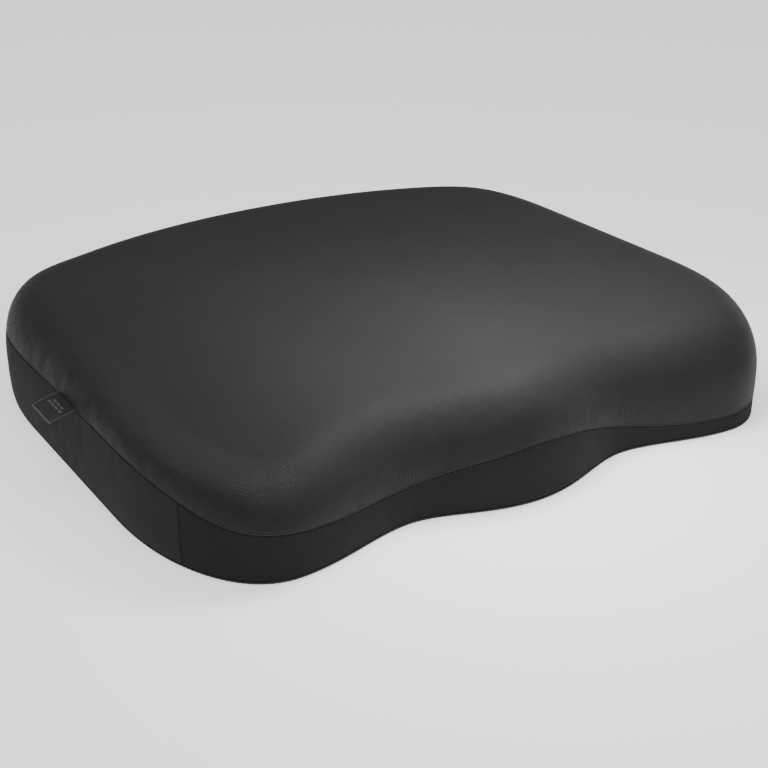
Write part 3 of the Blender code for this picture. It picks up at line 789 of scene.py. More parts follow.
def capped(rows, edge, count, height):
    """Rows with a lattice inside the last one: points, side faces, cap and inner places."""
    inner, quads = lattice(edge, count)
    z = height(inner[:, 0], inner[:, 1]) if callable(height) else height
    columns = len(edge)
    cap = quads((len(rows) - 1) * columns, len(rows) * columns)
    sides = grid_faces(len(rows), columns, closed=True)
    return np.concatenate(rows + [level(inner, z)]), sides, cap, inner


def ring(count):
    return np.arange(8 * count) * PERIMETER / (8 * count) - PERIMETER / 8


def top_panel(mat):
    """Top of the cover, from just above its seam over the rolled edge to the middle."""
    s = ring(RINGS)
    wall = Wall(s)
    start = wall.up_to(seam_height(s)) + SEAM_LIFT
    span = wall.total - start
    last = EDGE_STEPS[-1]
    distances = [np.full_like(s, d) for d in EDGE_STEPS]
    distances += [last + (span - last) * k / ROLL_ROWS for k in range(1, ROLL_ROWS + 1)]
    ats = [np.minimum(start + d, wall.total) for d in distances]
    rows = [wall.points(at, lip(d) + gathers(s, d)) for at, d in zip(ats, distances)]
    flats = [wall.place + wall.normal * (wall.total - at - ROLL_INSET)[:, None] for at in ats]
    edge = wall.place - wall.normal * ROLL_INSET
    verts, sides, cap, inner = capped(rows, edge, RINGS, top_height)
    obj = add("top_cover", verts, sides + cap, mat, "cushion", "top_knit")
    set_map(obj, np.concatenate(flats + [inner]))
    holds = [TOP_HOLD * smoothstep((d - TOP_HOLD_START) / TOP_HOLD_EASE) for d in distances]
    pins = [np.where(d < SEWN_REACH, 1.0, hold) for d, hold in zip(distances, holds)]
    pins.append(np.full(len(inner), TOP_HOLD))
    relax(obj, np.concatenate(pins), pressure=4.0, excess=0.003, cap=0.0030)
    thicken(obj, COVER_THICKNESS)
    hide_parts("top_panel")


def stations_between(start, end):
    """Stations with extra ones near the upright seams, where the cloth turns in."""
    inner = evenly(start + EDGE_STEPS[-1], end - EDGE_STEPS[-1])
    before = [start + d for d in EDGE_STEPS[:-1]]
    after = [end - d for d in reversed(EDGE_STEPS[:-1])]
    return np.array([*before, *inner, *after])


def band(name, node, start, end, low, high, mat, slot_name, low_lip=LIP_RADIUS,
         high_lip=LIP_RADIUS, pressure=6.0):
    """One strip of the side between two upright seams, its four edges turned in."""
    s = stations_between(start + SEAM_LIFT, end - SEAM_LIFT)
    wall = Wall(s)
    at_low, at_high = (wall.up_to(np.broadcast_to(z(s) if callable(z) else z, s.shape))
                       for z in (low, high))
    span = at_high - at_low
    last = EDGE_STEPS[-1]
    shrink = np.minimum(1.0, span / (2.6 * last))
    middle = max(2, round(float(span.mean() - 2 * last) / PITCH))
    ats = [at_low + d * shrink for d in EDGE_STEPS]
    for k in range(1, middle):
        share = k / middle
        ats.append((at_low + last * shrink) * (1 - share) + (at_high - last * shrink) * share)
    ats += [at_high - d * shrink for d in reversed(EDGE_STEPS)]
    side = np.minimum(s - s[0], s[-1] - s)
    rows = []
    pins = []
    for at in ats:
        from_low = at - at_low
        from_high = at_high - at
        depth = np.maximum(lip(from_low) * low_lip / LIP_RADIUS,
                           lip(from_high) * high_lip / LIP_RADIUS)
        depth = np.maximum(depth, lip(side))
        gather = gathers(s, from_high, BAND_GATHER_SHIFT)
        rows.append(wall.points(at, depth + gather * (high_lip / LIP_RADIUS)))
        nearest = np.minimum(np.minimum(from_low, from_high), side)
        pins.append(np.where(nearest < SEWN_REACH, 1.0, 0.0))
    obj = add(name, np.concatenate(rows), grid_faces(len(rows), len(s)), mat, "cushion", slot_name)
    set_map(obj, np.concatenate([np.column_stack([s, at]) for at in ats]))
    relax(obj, np.concatenate(pins), pressure=pressure, excess=0.002, cap=0.0022)
    thicken(obj, COVER_THICKNESS)
    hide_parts(node)


BAND_LOW = 2 * SEAM_RADIUS + CLEARANCE
ZIP_LIP = 0.0004
ZIP_PRESSURE = 3.0


def under_top_seam(s):
    return seam_height(s) - SEAM_LIFT


def bands(front_mat, side_mat):
    """The five strips of the side. The rear one is split by the zip."""
    left, right = MARKS["front_left"], MARKS["front_right"]
    rear = MARKS["rear_right"], MARKS["rear_left"]
    band("front_side", "front_band", left - PERIMETER, right, BAND_LOW, under_top_seam, front_mat,
         "front_band_knit")
    band("right_side", "right_band", right, rear[0], BAND_LOW, under_top_seam, side_mat,
         "side_band_knit")
    band("left_side", "left_band", rear[1], left, BAND_LOW, under_top_seam, side_mat,
         "side_band_knit")
    band("rear_side_above_zip", "rear_band_upper", *rear, ZIP_HEIGHT + ZIP_OPENING / 2,
         under_top_seam, side_mat, "side_band_knit", low_lip=ZIP_LIP, pressure=ZIP_PRESSURE)
    band("rear_side_below_zip", "rear_band_lower", *rear, BAND_LOW, ZIP_HEIGHT - ZIP_OPENING / 2,
         side_mat, "side_band_knit", high_lip=ZIP_LIP, pressure=ZIP_PRESSURE)


GRIP_HEIGHT = 0.0004
GRIP_RADIUS = 0.0015
GRIP_PITCH = 0.0100
GRIP_SIDES = 10
GRIP_ROW = GRIP_PITCH * 0.866
GRIP_MARGIN = 0.965
GRIP_PROFILE = ((1.0, GRIP_HEIGHT + 0.0002), (1.0, GRIP_HEIGHT * 0.6), (0.72, GRIP_HEIGHT * 0.12),
                (0.30, 0.0))  # share of the radius, and height
BASE_PROFILE = ((0.0, BOTTOM_THICKNESS), (-0.0002, GRIP_HEIGHT + 0.0004),
                (0.0004, GRIP_HEIGHT + 0.0001), (0.0020, GRIP_HEIGHT),
                (0.0060, GRIP_HEIGHT))  # further in than the seam, and height


def base(mat):
    """Flat base panel. Returns the edge of its flat part."""
    s = ring(BASE_RINGS)
    place, normal = on_outline(s)
    inset = (2 * SEAM_RADIUS + CLEARANCE - lean(s, 0.0))[:, None]
    rows = [level(place - normal * (inset + past), z) for past, z in BASE_PROFILE]
    edge = rows[-1][:, :2]
    verts, sides, cap, inner = capped(rows, edge, BASE_RINGS, GRIP_HEIGHT)
    _, quads = lattice(edge, BASE_RINGS)
    faces = flipped(sides) + flipped(cap) + quads(0, len(verts))
    verts = np.concatenate([verts, level(inner, BOTTOM_THICKNESS)])
    obj = add("base_panel", verts, faces, mat, "cushion", "bottom_fabric")
    set_map(obj, verts[:, :2])
    outwards(obj, sharp=50)
    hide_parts("bottom_panel")
    return edge


def inside(point, polygon):
    x, y = point
    x0, y0 = polygon.T
    x1, y1 = np.roll(polygon, -1, axis=0).T
    crosses = (y0 > y) != (y1 > y)
    where = x0 + (y - y0) * (x1 - x0) / np.where(y1 == y0, 1e-12, y1 - y0)
    return np.count_nonzero(crosses & (x < where)) % 2 == 1


def grip_dots(edge, mat):
    """Rubber dots in staggered rows under the base."""
    verts = []
    faces = []
    rows = int(DEPTH / GRIP_ROW) + 1
    columns = int(WIDTH / GRIP_PITCH) + 1
    turn = [math.tau * k / GRIP_SIDES for k in range(GRIP_SIDES)]
    shrunk = MIDDLE + (edge - MIDDLE) * GRIP_MARGIN
    for r in range(rows):
        for c in range(columns):
            x = -WIDTH / 2 + GRIP_PITCH * (c + 0.5 * (r % 2))
            y = FRONT_Y + GRIP_ROW * r
            if not inside((x, y), shrunk):
                continue
            first = len(verts)
            for share, z in GRIP_PROFILE:
                verts += [(x + GRIP_RADIUS * share * math.cos(a),
                           y + GRIP_RADIUS * share * math.sin(a), z) for a in turn]
            for low in range(first, len(verts) - GRIP_SIDES, GRIP_SIDES):
                for k in range(GRIP_SIDES):
                    a, b = low + k, low + (k + 1) % GRIP_SIDES
                    faces.append((a, a + GRIP_SIDES, b + GRIP_SIDES, b))
            faces.append(tuple(range(first, first + GRIP_SIDES)))
            faces.append(tuple(range(len(verts) - 1, len(verts) - 1 - GRIP_SIDES, -1)))
    add("grip_dots", verts, faces, mat, "cushion", "bottom_fabric")


# Cords.
CORD_LAY = 0.0032
CORD_SIDES = 8
CORD_SWELL = 0.20
CORD_RADIUS = 0.00045
CORD_STEP = 0.0009
CORD_SHIFT = 0.0001


# ---- Seams ----

def rope(name, node, path, radius, mat, closed=False):
    """Two-ply twisted cord along a path."""
    if closed:
        tangent = np.roll(path, -1, axis=0) - np.roll(path, 1, axis=0)
    else:
        tangent = np.gradient(path, axis=0)
    tangent /= np.linalg.norm(tangent, axis=1)[:, None]
    upright = abs(tangent[:, 2]).mean() >= 0.7
    side = np.cross(tangent, (1.0, 0.3, 0.0) if upright else (0.0, 0.0, 1.0))
    side /= np.linalg.norm(side, axis=1)[:, None]
    over = np.cross(side, tangent)
    steps = np.linalg.norm(np.diff(path, axis=0), axis=1)
    walked = np.concatenate([[0.0], np.cumsum(steps)])
    whole = walked[-1] + (np.linalg.norm(path[0] - path[-1]) if closed else 0.0)
    turns = max(1, round(whole / CORD_LAY))
    verts = []
    for p, a, b, w in zip(path, side, over, walked):
        twist = math.tau * turns * w / whole
        for k in range(CORD_SIDES):
            angle = math.tau * k / CORD_SIDES
            r = radius * (1 - CORD_SWELL * (0.5 - 0.5 * math.cos(2 * (angle - twist / 2))))
            verts.append(p + a * (r * math.cos(angle)) + b * (r * math.sin(angle)))
    faces = tube_faces(len(path), CORD_SIDES, looped=closed)
    obj = add(name, verts, faces, mat, "cushion", "seam_thread")
    outwards(obj)
    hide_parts(node)


def seams(mat, dark):
    """The cords in the top seam, the base seam and the four upright ones."""
    s = np.arange(0, PERIMETER, CORD_STEP)
    wall = Wall(s)
    path = wall.points(wall.up_to(seam_height(s)), SEAM_LEVEL - CORD_SHIFT)
    rope("top_seam_cord", "top_seam", path, CORD_RADIUS, mat, closed=True)
    path = wall.points(wall.up_to(np.full(len(s), SEAM_RADIUS * 1.1)), SEAM_RADIUS * 0.9)
    rope("base_seam_cord", "bottom_seam", path, SEAM_RADIUS, mat, closed=True)
    for place, at in MARKS.items():
        height = float(seam_height(at)) - SEAM_GAP
        z = np.arange(BAND_LOW, height, CORD_STEP)
        wall = Wall(np.full(len(z), at))
        path = wall.points(wall.up_to(z), SEAM_LEVEL + CORD_SHIFT)
        rope(f"upright_seam_{place}", f"band_seam_{place}", path, CORD_RADIUS, dark)


# ---- Zip ----

CHAIN_HALF = RIGHT["rear"] - RIGHT["arc_end"] - ZIP_END_MARGIN
COIL_FAR = TAPE_DEPTH - CLEARANCE
COIL_NEAR = COIL_FAR - COIL_THICKNESS
WIRE_RADIUS = 0.00022
COIL_PITCH = 0.0013
COIL_POINTS = 12
COIL_OVERLAP = 0.00035
TAPE_EDGES = (0.0003, 0.0010)
TAPE_COLUMNS = 6
TAPE_PITCH = 0.003


def zip_frame(s):
    """Matrix of a place on the zip's middle line: X along the walk, Y inwards, Z up."""
    angle = (s - RIGHT["rear"]) / REAR_RADIUS
    spot = Vector((-REAR_RADIUS * math.sin(angle),
                   ARC_CENTRE_Y + REAR_RADIUS * math.cos(angle), ZIP_HEIGHT))
    return Matrix.Translation(spot) @ Matrix.Rotation(math.pi + angle, 4, "Z")


def on_arc(along, inwards, up):
    """Points given along the zip, inwards from the outer face and up from its middle line."""
    angle = np.asarray(along) / REAR_RADIUS
    radius = REAR_RADIUS - np.asarray(inwards)
    return np.column_stack([-radius * np.sin(angle), ARC_CENTRE_Y + radius * np.cos(angle),
                            ZIP_HEIGHT + np.asarray(up)])


def strip(name, node, low, high, mat):
    """Woven tape: a thin strip with rounded edges, along the rear arc."""
    reach = CHAIN_HALF + STOP_LENGTH + CLEARANCE
    along = evenly(-reach, reach, TAPE_PITCH)
    near, far = TAPE_DEPTH, TAPE_DEPTH + TAPE_THICKNESS
    middle = (near + far) / 2
    half = (far - near) / 2
    rim, flat = TAPE_EDGES
    across = [low, low + rim, *np.linspace(low + flat, high - flat, TAPE_COLUMNS), high - rim, high]
    thick = [half * 0.5, half, *([half] * TAPE_COLUMNS), half, half * 0.5]
    loop = [(z, middle - t) for z, t in zip(across, thick)]
    loop += [(z, middle + t) for z, t in zip(reversed(across), reversed(thick))]
    verts = []
    flats = []
    walked = 0.0
    for i, (z, depth) in enumerate(loop):
        walked += math.hypot(z - loop[i - 1][0], depth - loop[i - 1][1]) if i else 0.0
        verts.append(on_arc(along, np.full(len(along), depth), np.full(len(along), z)))
        flats.append(level(along[:, None], walked))
    faces = sleeve_faces(len(loop), len(along))
    obj = add(name, np.concatenate(verts), faces, mat, "cushion", "zip_tape")
    set_map(obj, np.concatenate(flats))
    outwards(obj, sharp=60)
    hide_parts(node)


def tube(path, radius, sides):
    """Points and faces of a round tube along a path."""
    tangent = np.gradient(path, axis=0)
    tangent /= np.linalg.norm(tangent, axis=1)[:, None]
    side = np.cross(tangent, (0.31, 0.17, 0.93))
    normal = [side[0] / np.linalg.norm(side[0])]
    for t in tangent[1:]:
        kept = normal[-1] - t * np.dot(normal[-1], t)
        normal.append(kept / np.linalg.norm(kept))
    normal = np.array(normal)
    other = np.cross(tangent, normal)
    angles = [math.tau * k / sides for k in range(sides)]
    rings = [path + radius * (normal * math.cos(a) + other * math.sin(a)) for a in angles]
    return np.stack(rings, 1).reshape(-1, 3), tube_faces(len(path), sides)


def zip_coil(name, node, side, mat):
    """Nylon filament in flattened loops over the middle line, half a pitch from the other side."""
    turns = int(2 * CHAIN_HALF / COIL_PITCH) - 1
    phase = np.arange(turns * COIL_POINTS + 1) * math.tau / COIL_POINTS
    along = -CHAIN_HALF + COIL_PITCH * (phase / math.tau + (0.75 if side < 0 else 0.25))
    outer = COIL_SPLIT / 2 + COIL_WIDTH
    centre = (outer - COIL_OVERLAP) / 2
    reach = (outer + COIL_OVERLAP) / 2 - WIRE_RADIUS
    depth = (COIL_NEAR + COIL_FAR) / 2
    swing = COIL_THICKNESS / 2 - WIRE_RADIUS
    path = on_arc(along, depth + swing * np.sin(phase), side * (centre + reach * np.cos(phase)))
    obj = add(name, *tube(path, WIRE_RADIUS, sides=6), mat, "cushion", "zip_coil")
    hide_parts(node)


def zip_stop(name, node, side, mat):
    """Crimped metal clip over both coils, with a pressed dimple line."""
    half = COIL_SPLIT / 2 + COIL_WIDTH
    length = STOP_LENGTH / 2
    bm = bmesh.new()
    made = bmesh.ops.create_cube(bm, size=1.0)["verts"]
    bmesh.ops.scale(bm, vec=(2 * length, COIL_FAR - COIL_NEAR, 2 * half), verts=made)
    bmesh.ops.translate(bm, vec=(0, (COIL_FAR + COIL_NEAR) / 2, 0), verts=made)
    bmesh.ops.bevel(bm, geom=bm.edges[:], offset=0.0004, segments=3, affect="EDGES", profile=0.6)
    long = [e for e in bm.edges if abs(e.verts[0].co.z - e.verts[1].co.z) > half]
    bmesh.ops.subdivide_edges(bm, edges=long, cuts=8)
    for v in bm.verts:
        if v.co.y < COIL_NEAR + 0.0002:
            v.co.y += 0.00018 * math.exp(-(v.co.x / 0.0005) ** 2)
    s = RIGHT["rear"] + side * (CHAIN_HALF + CLEARANCE + length)
    bm.transform(zip_frame(s))
    bmesh.ops.recalc_face_normals(bm, faces=bm.faces)
    mesh = bpy.data.meshes.new(name)
    bm.to_mesh(mesh)
    bm.free()
    dressed(name, mesh, mat, "cushion", "zip_metal", node)


PLATE_THICKNESS = 0.0011
PLATE_GAP = 0.0004
SLIDER_WIDTH = 0.0072
CROWN_LENGTH = 0.0070
CROWN_HEIGHT = 0.0028
CROWN_THICKNESS = 0.0009
CROWN_WIDTH = 0.0018
PULL_BAR_RADIUS = 0.0005
PULL_LENGTH = 0.0240
PULL_WIDTH = 0.0062
PULL_THICKNESS = 0.0010
PULL_ARM_WIDTH = 0.0011
POST_THICKNESS = 0.0007
POST_LENGTH = 0.0024
PLATE_FACE = COIL_NEAR - PLATE_GAP
SLIDER_FACE = PLATE_FACE - PLATE_THICKNESS
CROWN_TOP = SLIDER_FACE - CROWN_HEIGHT
PULL_AXIS_Y = (SLIDER_FACE + CROWN_TOP + CROWN_THICKNESS) / 2
TAPE_BACK = TAPE_DEPTH + TAPE_THICKNESS + CLEARANCE
BITE = PLATE_THICKNESS / 4
FLANGE_WIDTH = 0.0009
CROWN_CURVE = 3.2
CROWN_STEPS = 10
PULL_ARM_SHARE = 0.80
PULL_TIP_STEPS = 14
SLIDER_PLACE = zip_frame(RIGHT["rear"] - CHAIN_HALF + SLIDER_LENGTH / 2 + CLEARANCE)


def prism(bm, outline, near, far, across=False):
    """Closed prism on an outline of (x, z) from one y to another, or of (x, y) from one z."""
    front, back = ([bm.verts.new((a, b, depth) if across else (a, depth, b)) for a, b in outline]
                   for depth in (near, far))
    bm.faces.new(front)
    bm.faces.new(list(reversed(back)))
    for i in range(len(outline)):
        j = (i + 1) % len(outline)
        bm.faces.new((front[i], back[i], back[j], front[j]))


def rounded_outline(points, radius, steps=4):
    """Outline with each corner rounded off."""
    out = []
    for i, corner in enumerate(points):
        here = Vector(corner)
        before = (Vector(points[i - 1]) - here)
        after = (Vector(points[(i + 1) % len(points)]) - here)
        reach = min(radius, before.length * 0.45, after.length * 0.45)
        start = here + before.normalized() * reach
        end = here + after.normalized() * reach
        for k in range(steps + 1):
            t = k / steps
            out.append(tuple(start * (1 - t) ** 2 + here * 2 * t * (1 - t) + end * t * t))
    return out


def body_mesh(name, build, bevel, place=None, sharp=35):
    """Mesh of a closed form with softened edges, moved to its place on the slider."""
    bm = bmesh.new()
    build(bm)
    bmesh.ops.recalc_face_normals(bm, faces=bm.faces)
    if bevel:
        edges = [e for e in bm.edges if e.is_manifold and e.calc_face_angle() > math.radians(sharp)]
        bmesh.ops.bevel(bm, geom=edges, offset=bevel, segments=2, affect="EDGES",
                        clamp_overlap=True)
    bm.transform(place or SLIDER_PLACE)
    mesh = bpy.data.meshes.new(name)
    bm.to_mesh(mesh)
    bm.free()
    return mesh


def combined(name, meshes, mat, body, *nodes, cut=()):
    """One metal piece from overlapping ones. Those whose numbers are in cut are taken away."""
    objects = [bpy.data.objects.new(f"{name}_{i}", mesh) for i, mesh in enumerate(meshes)]
    for i, obj in enumerate(objects):
        bpy.context.scene.collection.objects.link(obj)
        if i:
            step = objects[0].modifiers.new("with", "BOOLEAN")
            step.operation = "DIFFERENCE" if i in cut else "UNION"
            step.object = obj
    apply_modifiers(objects[0])
    mesh = objects[0].data
    for obj in objects:
        bpy.data.objects.remove(obj, do_unlink=True)
    dressed(name, mesh, mat, body, "zip_metal", *nodes)


def zip_slider(mat):
    """Shield-shaped plates with side flanges, the post between the coils and the pull's crown."""
    long = SLIDER_LENGTH / 2
    wide = SLIDER_WIDTH / 2
    half = ((-long, -wide * 0.72), (-long * 0.2, -wide), (long, -wide), (long * 0.96, -wide * 0.2))
    mirrored = ((x, -z) for x, z in reversed(half))
    shield = rounded_outline((*half, (long * 0.72, 0.0), *mirrored), 0.0010)

    def plate(near, far):
        return lambda bm: prism(bm, shield, near, far)

    def block(x0, x1, far, z0, z1):
        outline = rounded_outline(((x0, z0), (x1, z0), (x1, z1), (x0, z1)), 0.0002, 3)
        return lambda bm: prism(bm, outline, PLATE_FACE - BITE, far)

    def crown(bm):
        root = SLIDER_FACE + BITE

        def arch(leg, top, rise):
            return [(-leg + 2 * leg * k / CROWN_STEPS,
                     top + rise * abs(2 * k / CROWN_STEPS - 1) ** CROWN_CURVE)
                    for k in range(CROWN_STEPS + 1)]

        leg = CROWN_LENGTH / 2
        inner = leg - CROWN_THICKNESS
        rise = root - CROWN_TOP
        loop = [*arch(leg, CROWN_TOP, rise), (leg, root), (inner, root),
                *arch(-inner, CROWN_TOP + CROWN_THICKNESS, rise - CROWN_THICKNESS),
                (-inner, root), (-leg, root)]
        clean = loop[:1]
        for point in loop[1:]:
            if math.dist(point, clean[-1]) > 1e-5:
                clean.append(point)
        prism(bm, clean, -CROWN_WIDTH / 2, CROWN_WIDTH / 2, across=True)

    post = block(long - POST_LENGTH, long - 0.0008, TAPE_BACK + BITE, -POST_THICKNESS / 2,
                 POST_THICKNESS / 2)
    meshes = [body_mesh("plate", plate(SLIDER_FACE, PLATE_FACE), 0.00022),
              body_mesh("back", plate(TAPE_BACK, TAPE_BACK + PLATE_THICKNESS), 0.00022),
              body_mesh("post", post, 0.00005), body_mesh("crown", crown, 0.00015)]
    for z0, z1 in ((-wide, -wide + FLANGE_WIDTH), (wide - FLANGE_WIDTH, wide)):
        flange = block(-long * 0.2, long - 0.0010, COIL_FAR - CLEARANCE / 3, z0, z1)
        meshes.append(body_mesh("flange", flange, 0.00015))
    combined("slider_body", meshes, mat, "slider", "zip_slider")


def zip_pull(mat):
    """Flat drop-shaped tab with a slot, and arms that hold the round bar under the crown."""
    place = SLIDER_PLACE @ Matrix.Translation((0, PULL_AXIS_Y, 0))
    wide = PULL_WIDTH / 2
    thick = PULL_THICKNESS / 2
    start = CROWN_LENGTH / 2 + 3 * CLEARANCE
    tip = PULL_LENGTH - wide
    edge = ((0.0, wide * PULL_ARM_SHARE), (start, wide * 0.86), (start + 0.006, wide * 0.62))
    outline = [(x, -z) for x, z in edge]
    for k in range(PULL_TIP_STEPS + 1):
        a = -math.pi / 2 + math.pi * k / PULL_TIP_STEPS
        outline.append((tip + wide * math.cos(a), wide * math.sin(a)))
    outline += reversed(edge)
    arm = wide * PULL_ARM_SHARE - PULL_ARM_WIDTH
    inner = ((0.0, arm), (start - 0.0004, arm), (start + 0.0002, arm * 0.6))
    outline += [*inner, *((x, -z) for x, z in reversed(inner))]
    slot = [(tip + 0.0016 * math.cos(a) + (0.0012 if math.cos(a) > 0 else -0.0012),
             0.0011 * math.sin(a)) for a in (math.tau * k / 20 for k in range(20))]

    def bar(bm):
        bmesh.ops.create_cone(bm, cap_ends=True, segments=16, radius1=PULL_BAR_RADIUS,
                              radius2=PULL_BAR_RADIUS, depth=2 * wide * PULL_ARM_SHARE - 0.0004)

    meshes = [body_mesh("tab", lambda bm: prism(bm, outline, -thick, thick), 0.00018, place, 50),
              body_mesh("hole", lambda bm: prism(bm, slot, -thick * 3, thick * 3), 0, place),
              body_mesh("bar", bar, 0, place)]
    combined("pull_tab", meshes, mat, "pull", "zip_pull", cut=(1,))


def zipper(tape, nylon, metal):
    split = COIL_SPLIT / 2
    strip("tape_above", "zip_tape_upper", split, TAPE_WIDTH, tape)
    strip("tape_below", "zip_tape_lower", -TAPE_WIDTH, -split, tape)
    zip_coil("coil_above", "zip_coil_upper", 1, nylon)
    zip_coil("coil_below", "zip_coil_lower", -1, nylon)
    zip_stop("stop_closed_end", "zip_stop_closed_end", -1, metal)
    zip_stop("stop_open_end", "zip_stop_open_end", 1, metal)
    zip_slider(metal)
    zip_pull(metal)


# ---- Labels ----

LABEL_COLUMNS = 31
LABEL_STEPS = 18
FOLD_STEPS = 6
LABEL_ROOT = 0.0009
LABEL_CURL = 0.0008
LABEL_WAVE = 0.0003
BACK_PLY_SHIFT = 0.01


def folded_label(mat):
    """Ribbon folded double and sewn into the seam, with its fold outermost and a slight curl."""
    high = Vector(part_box("side_label")[1])
    walk = np.array([LEFT["side_front"] - (LABEL_Y - FRONT_Y - FRONT_CORNER_LENGTH)])
    wall = Wall(walk)
    root = Vector(wall.points(wall.up_to(seam_height(walk)), 0.0)[0])
    root.x = high.x - LABEL_ROOT
    half = LABEL_LENGTH / 2
    along = np.linspace(-half, half, LABEL_COLUMNS)
    # A loop round the ribbon: out along the upper ply, round the fold, back along the lower one.
    outer = LABEL_THICKNESS / 2
    reach = LABEL_REACH - outer
    steps = range(LABEL_STEPS + 1)
    loop = [(reach * k / LABEL_STEPS, outer, k / LABEL_STEPS) for k in steps]
    for k in range(1, FOLD_STEPS):
        a = math.pi / 2 - math.pi * k / FOLD_STEPS
        loop.append((reach + outer * math.cos(a), outer * math.sin(a), 1.0))
    loop += [(reach * (1 - k / LABEL_STEPS), -outer, 1 - k / LABEL_STEPS) for k in steps]
    verts = []
    flats = []
    cos, sin = math.cos(LABEL_SLOPE), math.sin(LABEL_SLOPE)
    for x, up, share in loop:
        for y in along:
            curl = LABEL_CURL * math.sin(math.pi * share * 0.9) * (1 - 0.35 * (y / half) ** 2)
            curl += LABEL_CURL * share ** 2 * (y / half) ** 2
            wave = LABEL_WAVE * math.sin(math.tau * y / half * 0.8 + 0.7) * share
            rise = up + curl + wave
            verts.append((root.x - x * cos - rise * sin, LABEL_Y + y,
                          root.z - x * sin + rise * cos))
            flats.append((-y, x if up > -outer * 0.5 else LABEL_REACH + BACK_PLY_SHIFT + x))
    faces = sleeve_faces(len(loop), LABEL_COLUMNS)
    obj = add("seam_tab", verts, faces, mat, "label", "woven_label")
    set_map(obj, flats)
    outwards(obj, sharp=60)
    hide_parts("side_label")


# ---- Filling ----

INNER_RINGS = 24
INNER_ROWS = 26
TRAY_ROWS = 4
INNER_EASE = 0.0004


def filling(foam, knit_mat):
    """Foam core and its thin knitted liner, inside the cover."""
    s = ring(INNER_RINGS)
    wall = Wall(s)
    share = np.linspace(0, 1, INNER_ROWS)

    def skin(depth, low):
        """Wall, rolled edge and top of an inner layer, from this height up."""
        at_low = wall.up_to(np.full(len(s), low))
        rows = [wall.points(at_low + (wall.total - at_low) * k, depth + relief(s)) for k in share]
        verts, sides, cap, inner = capped(rows, rows[-1][:, :2], INNER_RINGS,
                                          lambda x, y: top_height(x, y) - depth)
        return verts, sides + cap, inner, rows[0][:, :2]

    base_z = BOTTOM_THICKNESS + 2 * CLEARANCE + LINER_THICKNESS
    verts, faces, _, edge = skin(FOAM_INSET + INNER_EASE, base_z)
    floor, quads = lattice(edge, INNER_RINGS)
    faces += flipped(quads(0, len(verts)))
    verts = np.concatenate([verts, level(floor, base_z)])
    core = add("foam_block", verts, faces, foam, "cushion", "foam")
    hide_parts("foam_core")

    depth = LINER_INSET + INNER_EASE
    verts, faces, inner, _ = skin(depth, LINER_SPLIT_HEIGHT + CLEARANCE)
    flats = [wall.place + wall.normal * (wall.total * (1 - k) - ROLL_INSET)[:, None] for k in share]
    upper = add("liner_hood", verts, faces, knit_mat, "cushion", "liner")
    set_map(upper, np.concatenate(flats + [inner]))
    thicken(upper, LINER_THICKNESS, levels=0)
    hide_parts("liner_top")

    low = BOTTOM_THICKNESS + CLEARANCE
    rows = [wall.points(wall.up_to(np.full(len(s), z)), depth + relief(s))
            for z in np.linspace(LINER_SPLIT_HEIGHT, low, TRAY_ROWS)]
    verts, sides, cap, _ = capped(rows, rows[-1][:, :2], INNER_RINGS, low)
    lower = add("liner_tray", verts, flipped(sides) + flipped(cap), knit_mat, "cushion", "liner")
    set_map(lower, verts[:, :2])
    thicken(lower, LINER_THICKNESS, levels=0)
    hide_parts("liner_bottom")


# ---- Stage ----

CAMERA_AZIMUTH = math.radians(-32.6)
CAMERA_ELEVATION = math.radians(25.7)
CAMERA_DISTANCE = 0.997
CAMERA_TARGET = Vector((0.0063, -0.0154, 0.0012))
LENS = 66.7
SENSOR = 36
FLOOR_SIZE = 60
FLOOR_DROP = 0.0002
FLOOR_GLOW = 0.9
SKY = 0.28
# Name, place, size, power and what it points at.
LIGHTS = (("key", (0.020, -0.160, 0.275), (0.14, 0.14), 1.2, (0.03, -0.15, 0.05)),
          ("fill", (-0.40, -0.95, 0.95), (0.9, 0.9), 5.5, (0, 0, 0.03)),
          ("overhead", (-0.1, 0.1, 1.6), (1.4, 1.0), 7.5, (0, 0, 0.03)))


def camera():
    data = bpy.data.cameras.new("camera")
    data.lens = LENS
    data.sensor_width = SENSOR
    obj = bpy.data.objects.new("camera", data)
    back = Vector((math.sin(CAMERA_AZIMUTH) * math.cos(CAMERA_ELEVATION),
                   -math.cos(CAMERA_AZIMUTH) * math.cos(CAMERA_ELEVATION),
                   math.sin(CAMERA_ELEVATION)))
    obj.location = CAMERA_TARGET + back * CAMERA_DISTANCE
    obj.rotation_euler = back.to_track_quat("Z", "Y").to_euler()
    bpy.context.scene.collection.objects.link(obj)
    bpy.context.scene.camera = obj


def area(name, place, size, power, target):
    data = bpy.data.lights.new(name, "AREA")
    data.shape = "RECTANGLE"
    data.size, data.size_y = size
    data.energy = power
    obj = bpy.data.objects.new(name, data)
    obj.location = place
    obj.rotation_euler = (Vector(place) - Vector(target)).to_track_quat("Z", "Y").to_euler()
    bpy.context.scene.collection.objects.link(obj)


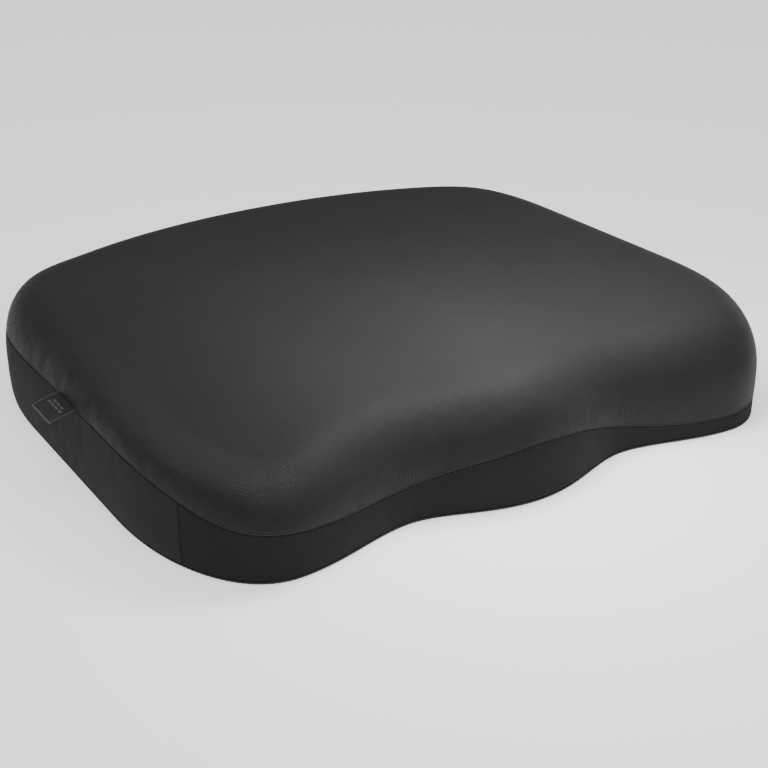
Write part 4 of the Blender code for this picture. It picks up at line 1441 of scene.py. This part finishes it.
def studio():
    bpy.ops.mesh.primitive_plane_add(size=FLOOR_SIZE, location=(0, 0, -FLOOR_DROP))
    floor = bpy.context.object
    floor.name = "floor"
    n = Nodes("paper_floor", (0.90, 0.90, 0.90), 0.9)
    n.shade({"Emission Color": (1, 1, 1, 1), "Emission Strength": FLOOR_GLOW})
    floor.data.materials.append(n.mat)
    world = bpy.data.worlds.new("studio")
    bpy.context.scene.world = world
    world.use_nodes = True
    sky = world.node_tree.nodes["Background"].inputs
    sky["Color"].default_value = (1, 1, 1, 1)
    sky["Strength"].default_value = SKY
    for light in LIGHTS:
        area(*light)


def main():
    top = knit("top_knit", (0.0255, 0.0247, 0.0249), pitch=0.0014, angle=math.radians(-4),
               cross=0.0012, depth=0.00018, sheen=0.03)
    front = plain_weave("front_band_knit", (0.0158, 0.0158, 0.0162), 0.0008, 0.00015, sheen=0.02)
    side = plain_weave("side_band_knit", (0.0205, 0.0205, 0.0209), 0.0008, 0.00015, sheen=0.02)
    base_cloth = plain_weave("base_fabric", (0.022, 0.022, 0.023), 0.0009, 0.00020, sheen=0.04)
    thread = thread_material("seam_thread", (0.042, 0.042, 0.043))
    dark_thread = thread_material("upright_seam_thread", (0.012, 0.012, 0.0123))
    tape = plain_weave("zip_tape", (0.020, 0.020, 0.021), 0.0006, 0.00015, sheen=0.10)
    nylon = moulded("zip_coil", (0.018, 0.018, 0.019), 0.32, 0.50)
    metal = moulded("zip_metal", (0.050, 0.050, 0.052), 0.28, 0.48, metallic=1.0)
    rubber = moulded("grip_rubber", (0.022, 0.022, 0.023), 0.55, 0.75)
    woven = label_material()
    ribbon = moulded("care_ribbon", (0.75, 0.75, 0.74), 0.50, 0.62, grain=0.0005)
    liner = knit("liner_knit", (0.55, 0.55, 0.55), pitch=0.0012, angle=0.0, cross=0.0010,
                 depth=0.0002, sheen=0.1)
    foam = foam_material()

    top_panel(top)
    bands(front, side)
    grip_dots(base(base_cloth), rubber)
    seams(thread, dark_thread)
    zipper(tape, nylon, metal)
    folded_label(woven)
    filling(foam, liner)
    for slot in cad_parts["care_label"].material_slots:
        slot.material = ribbon
    camera()
    studio()


main()
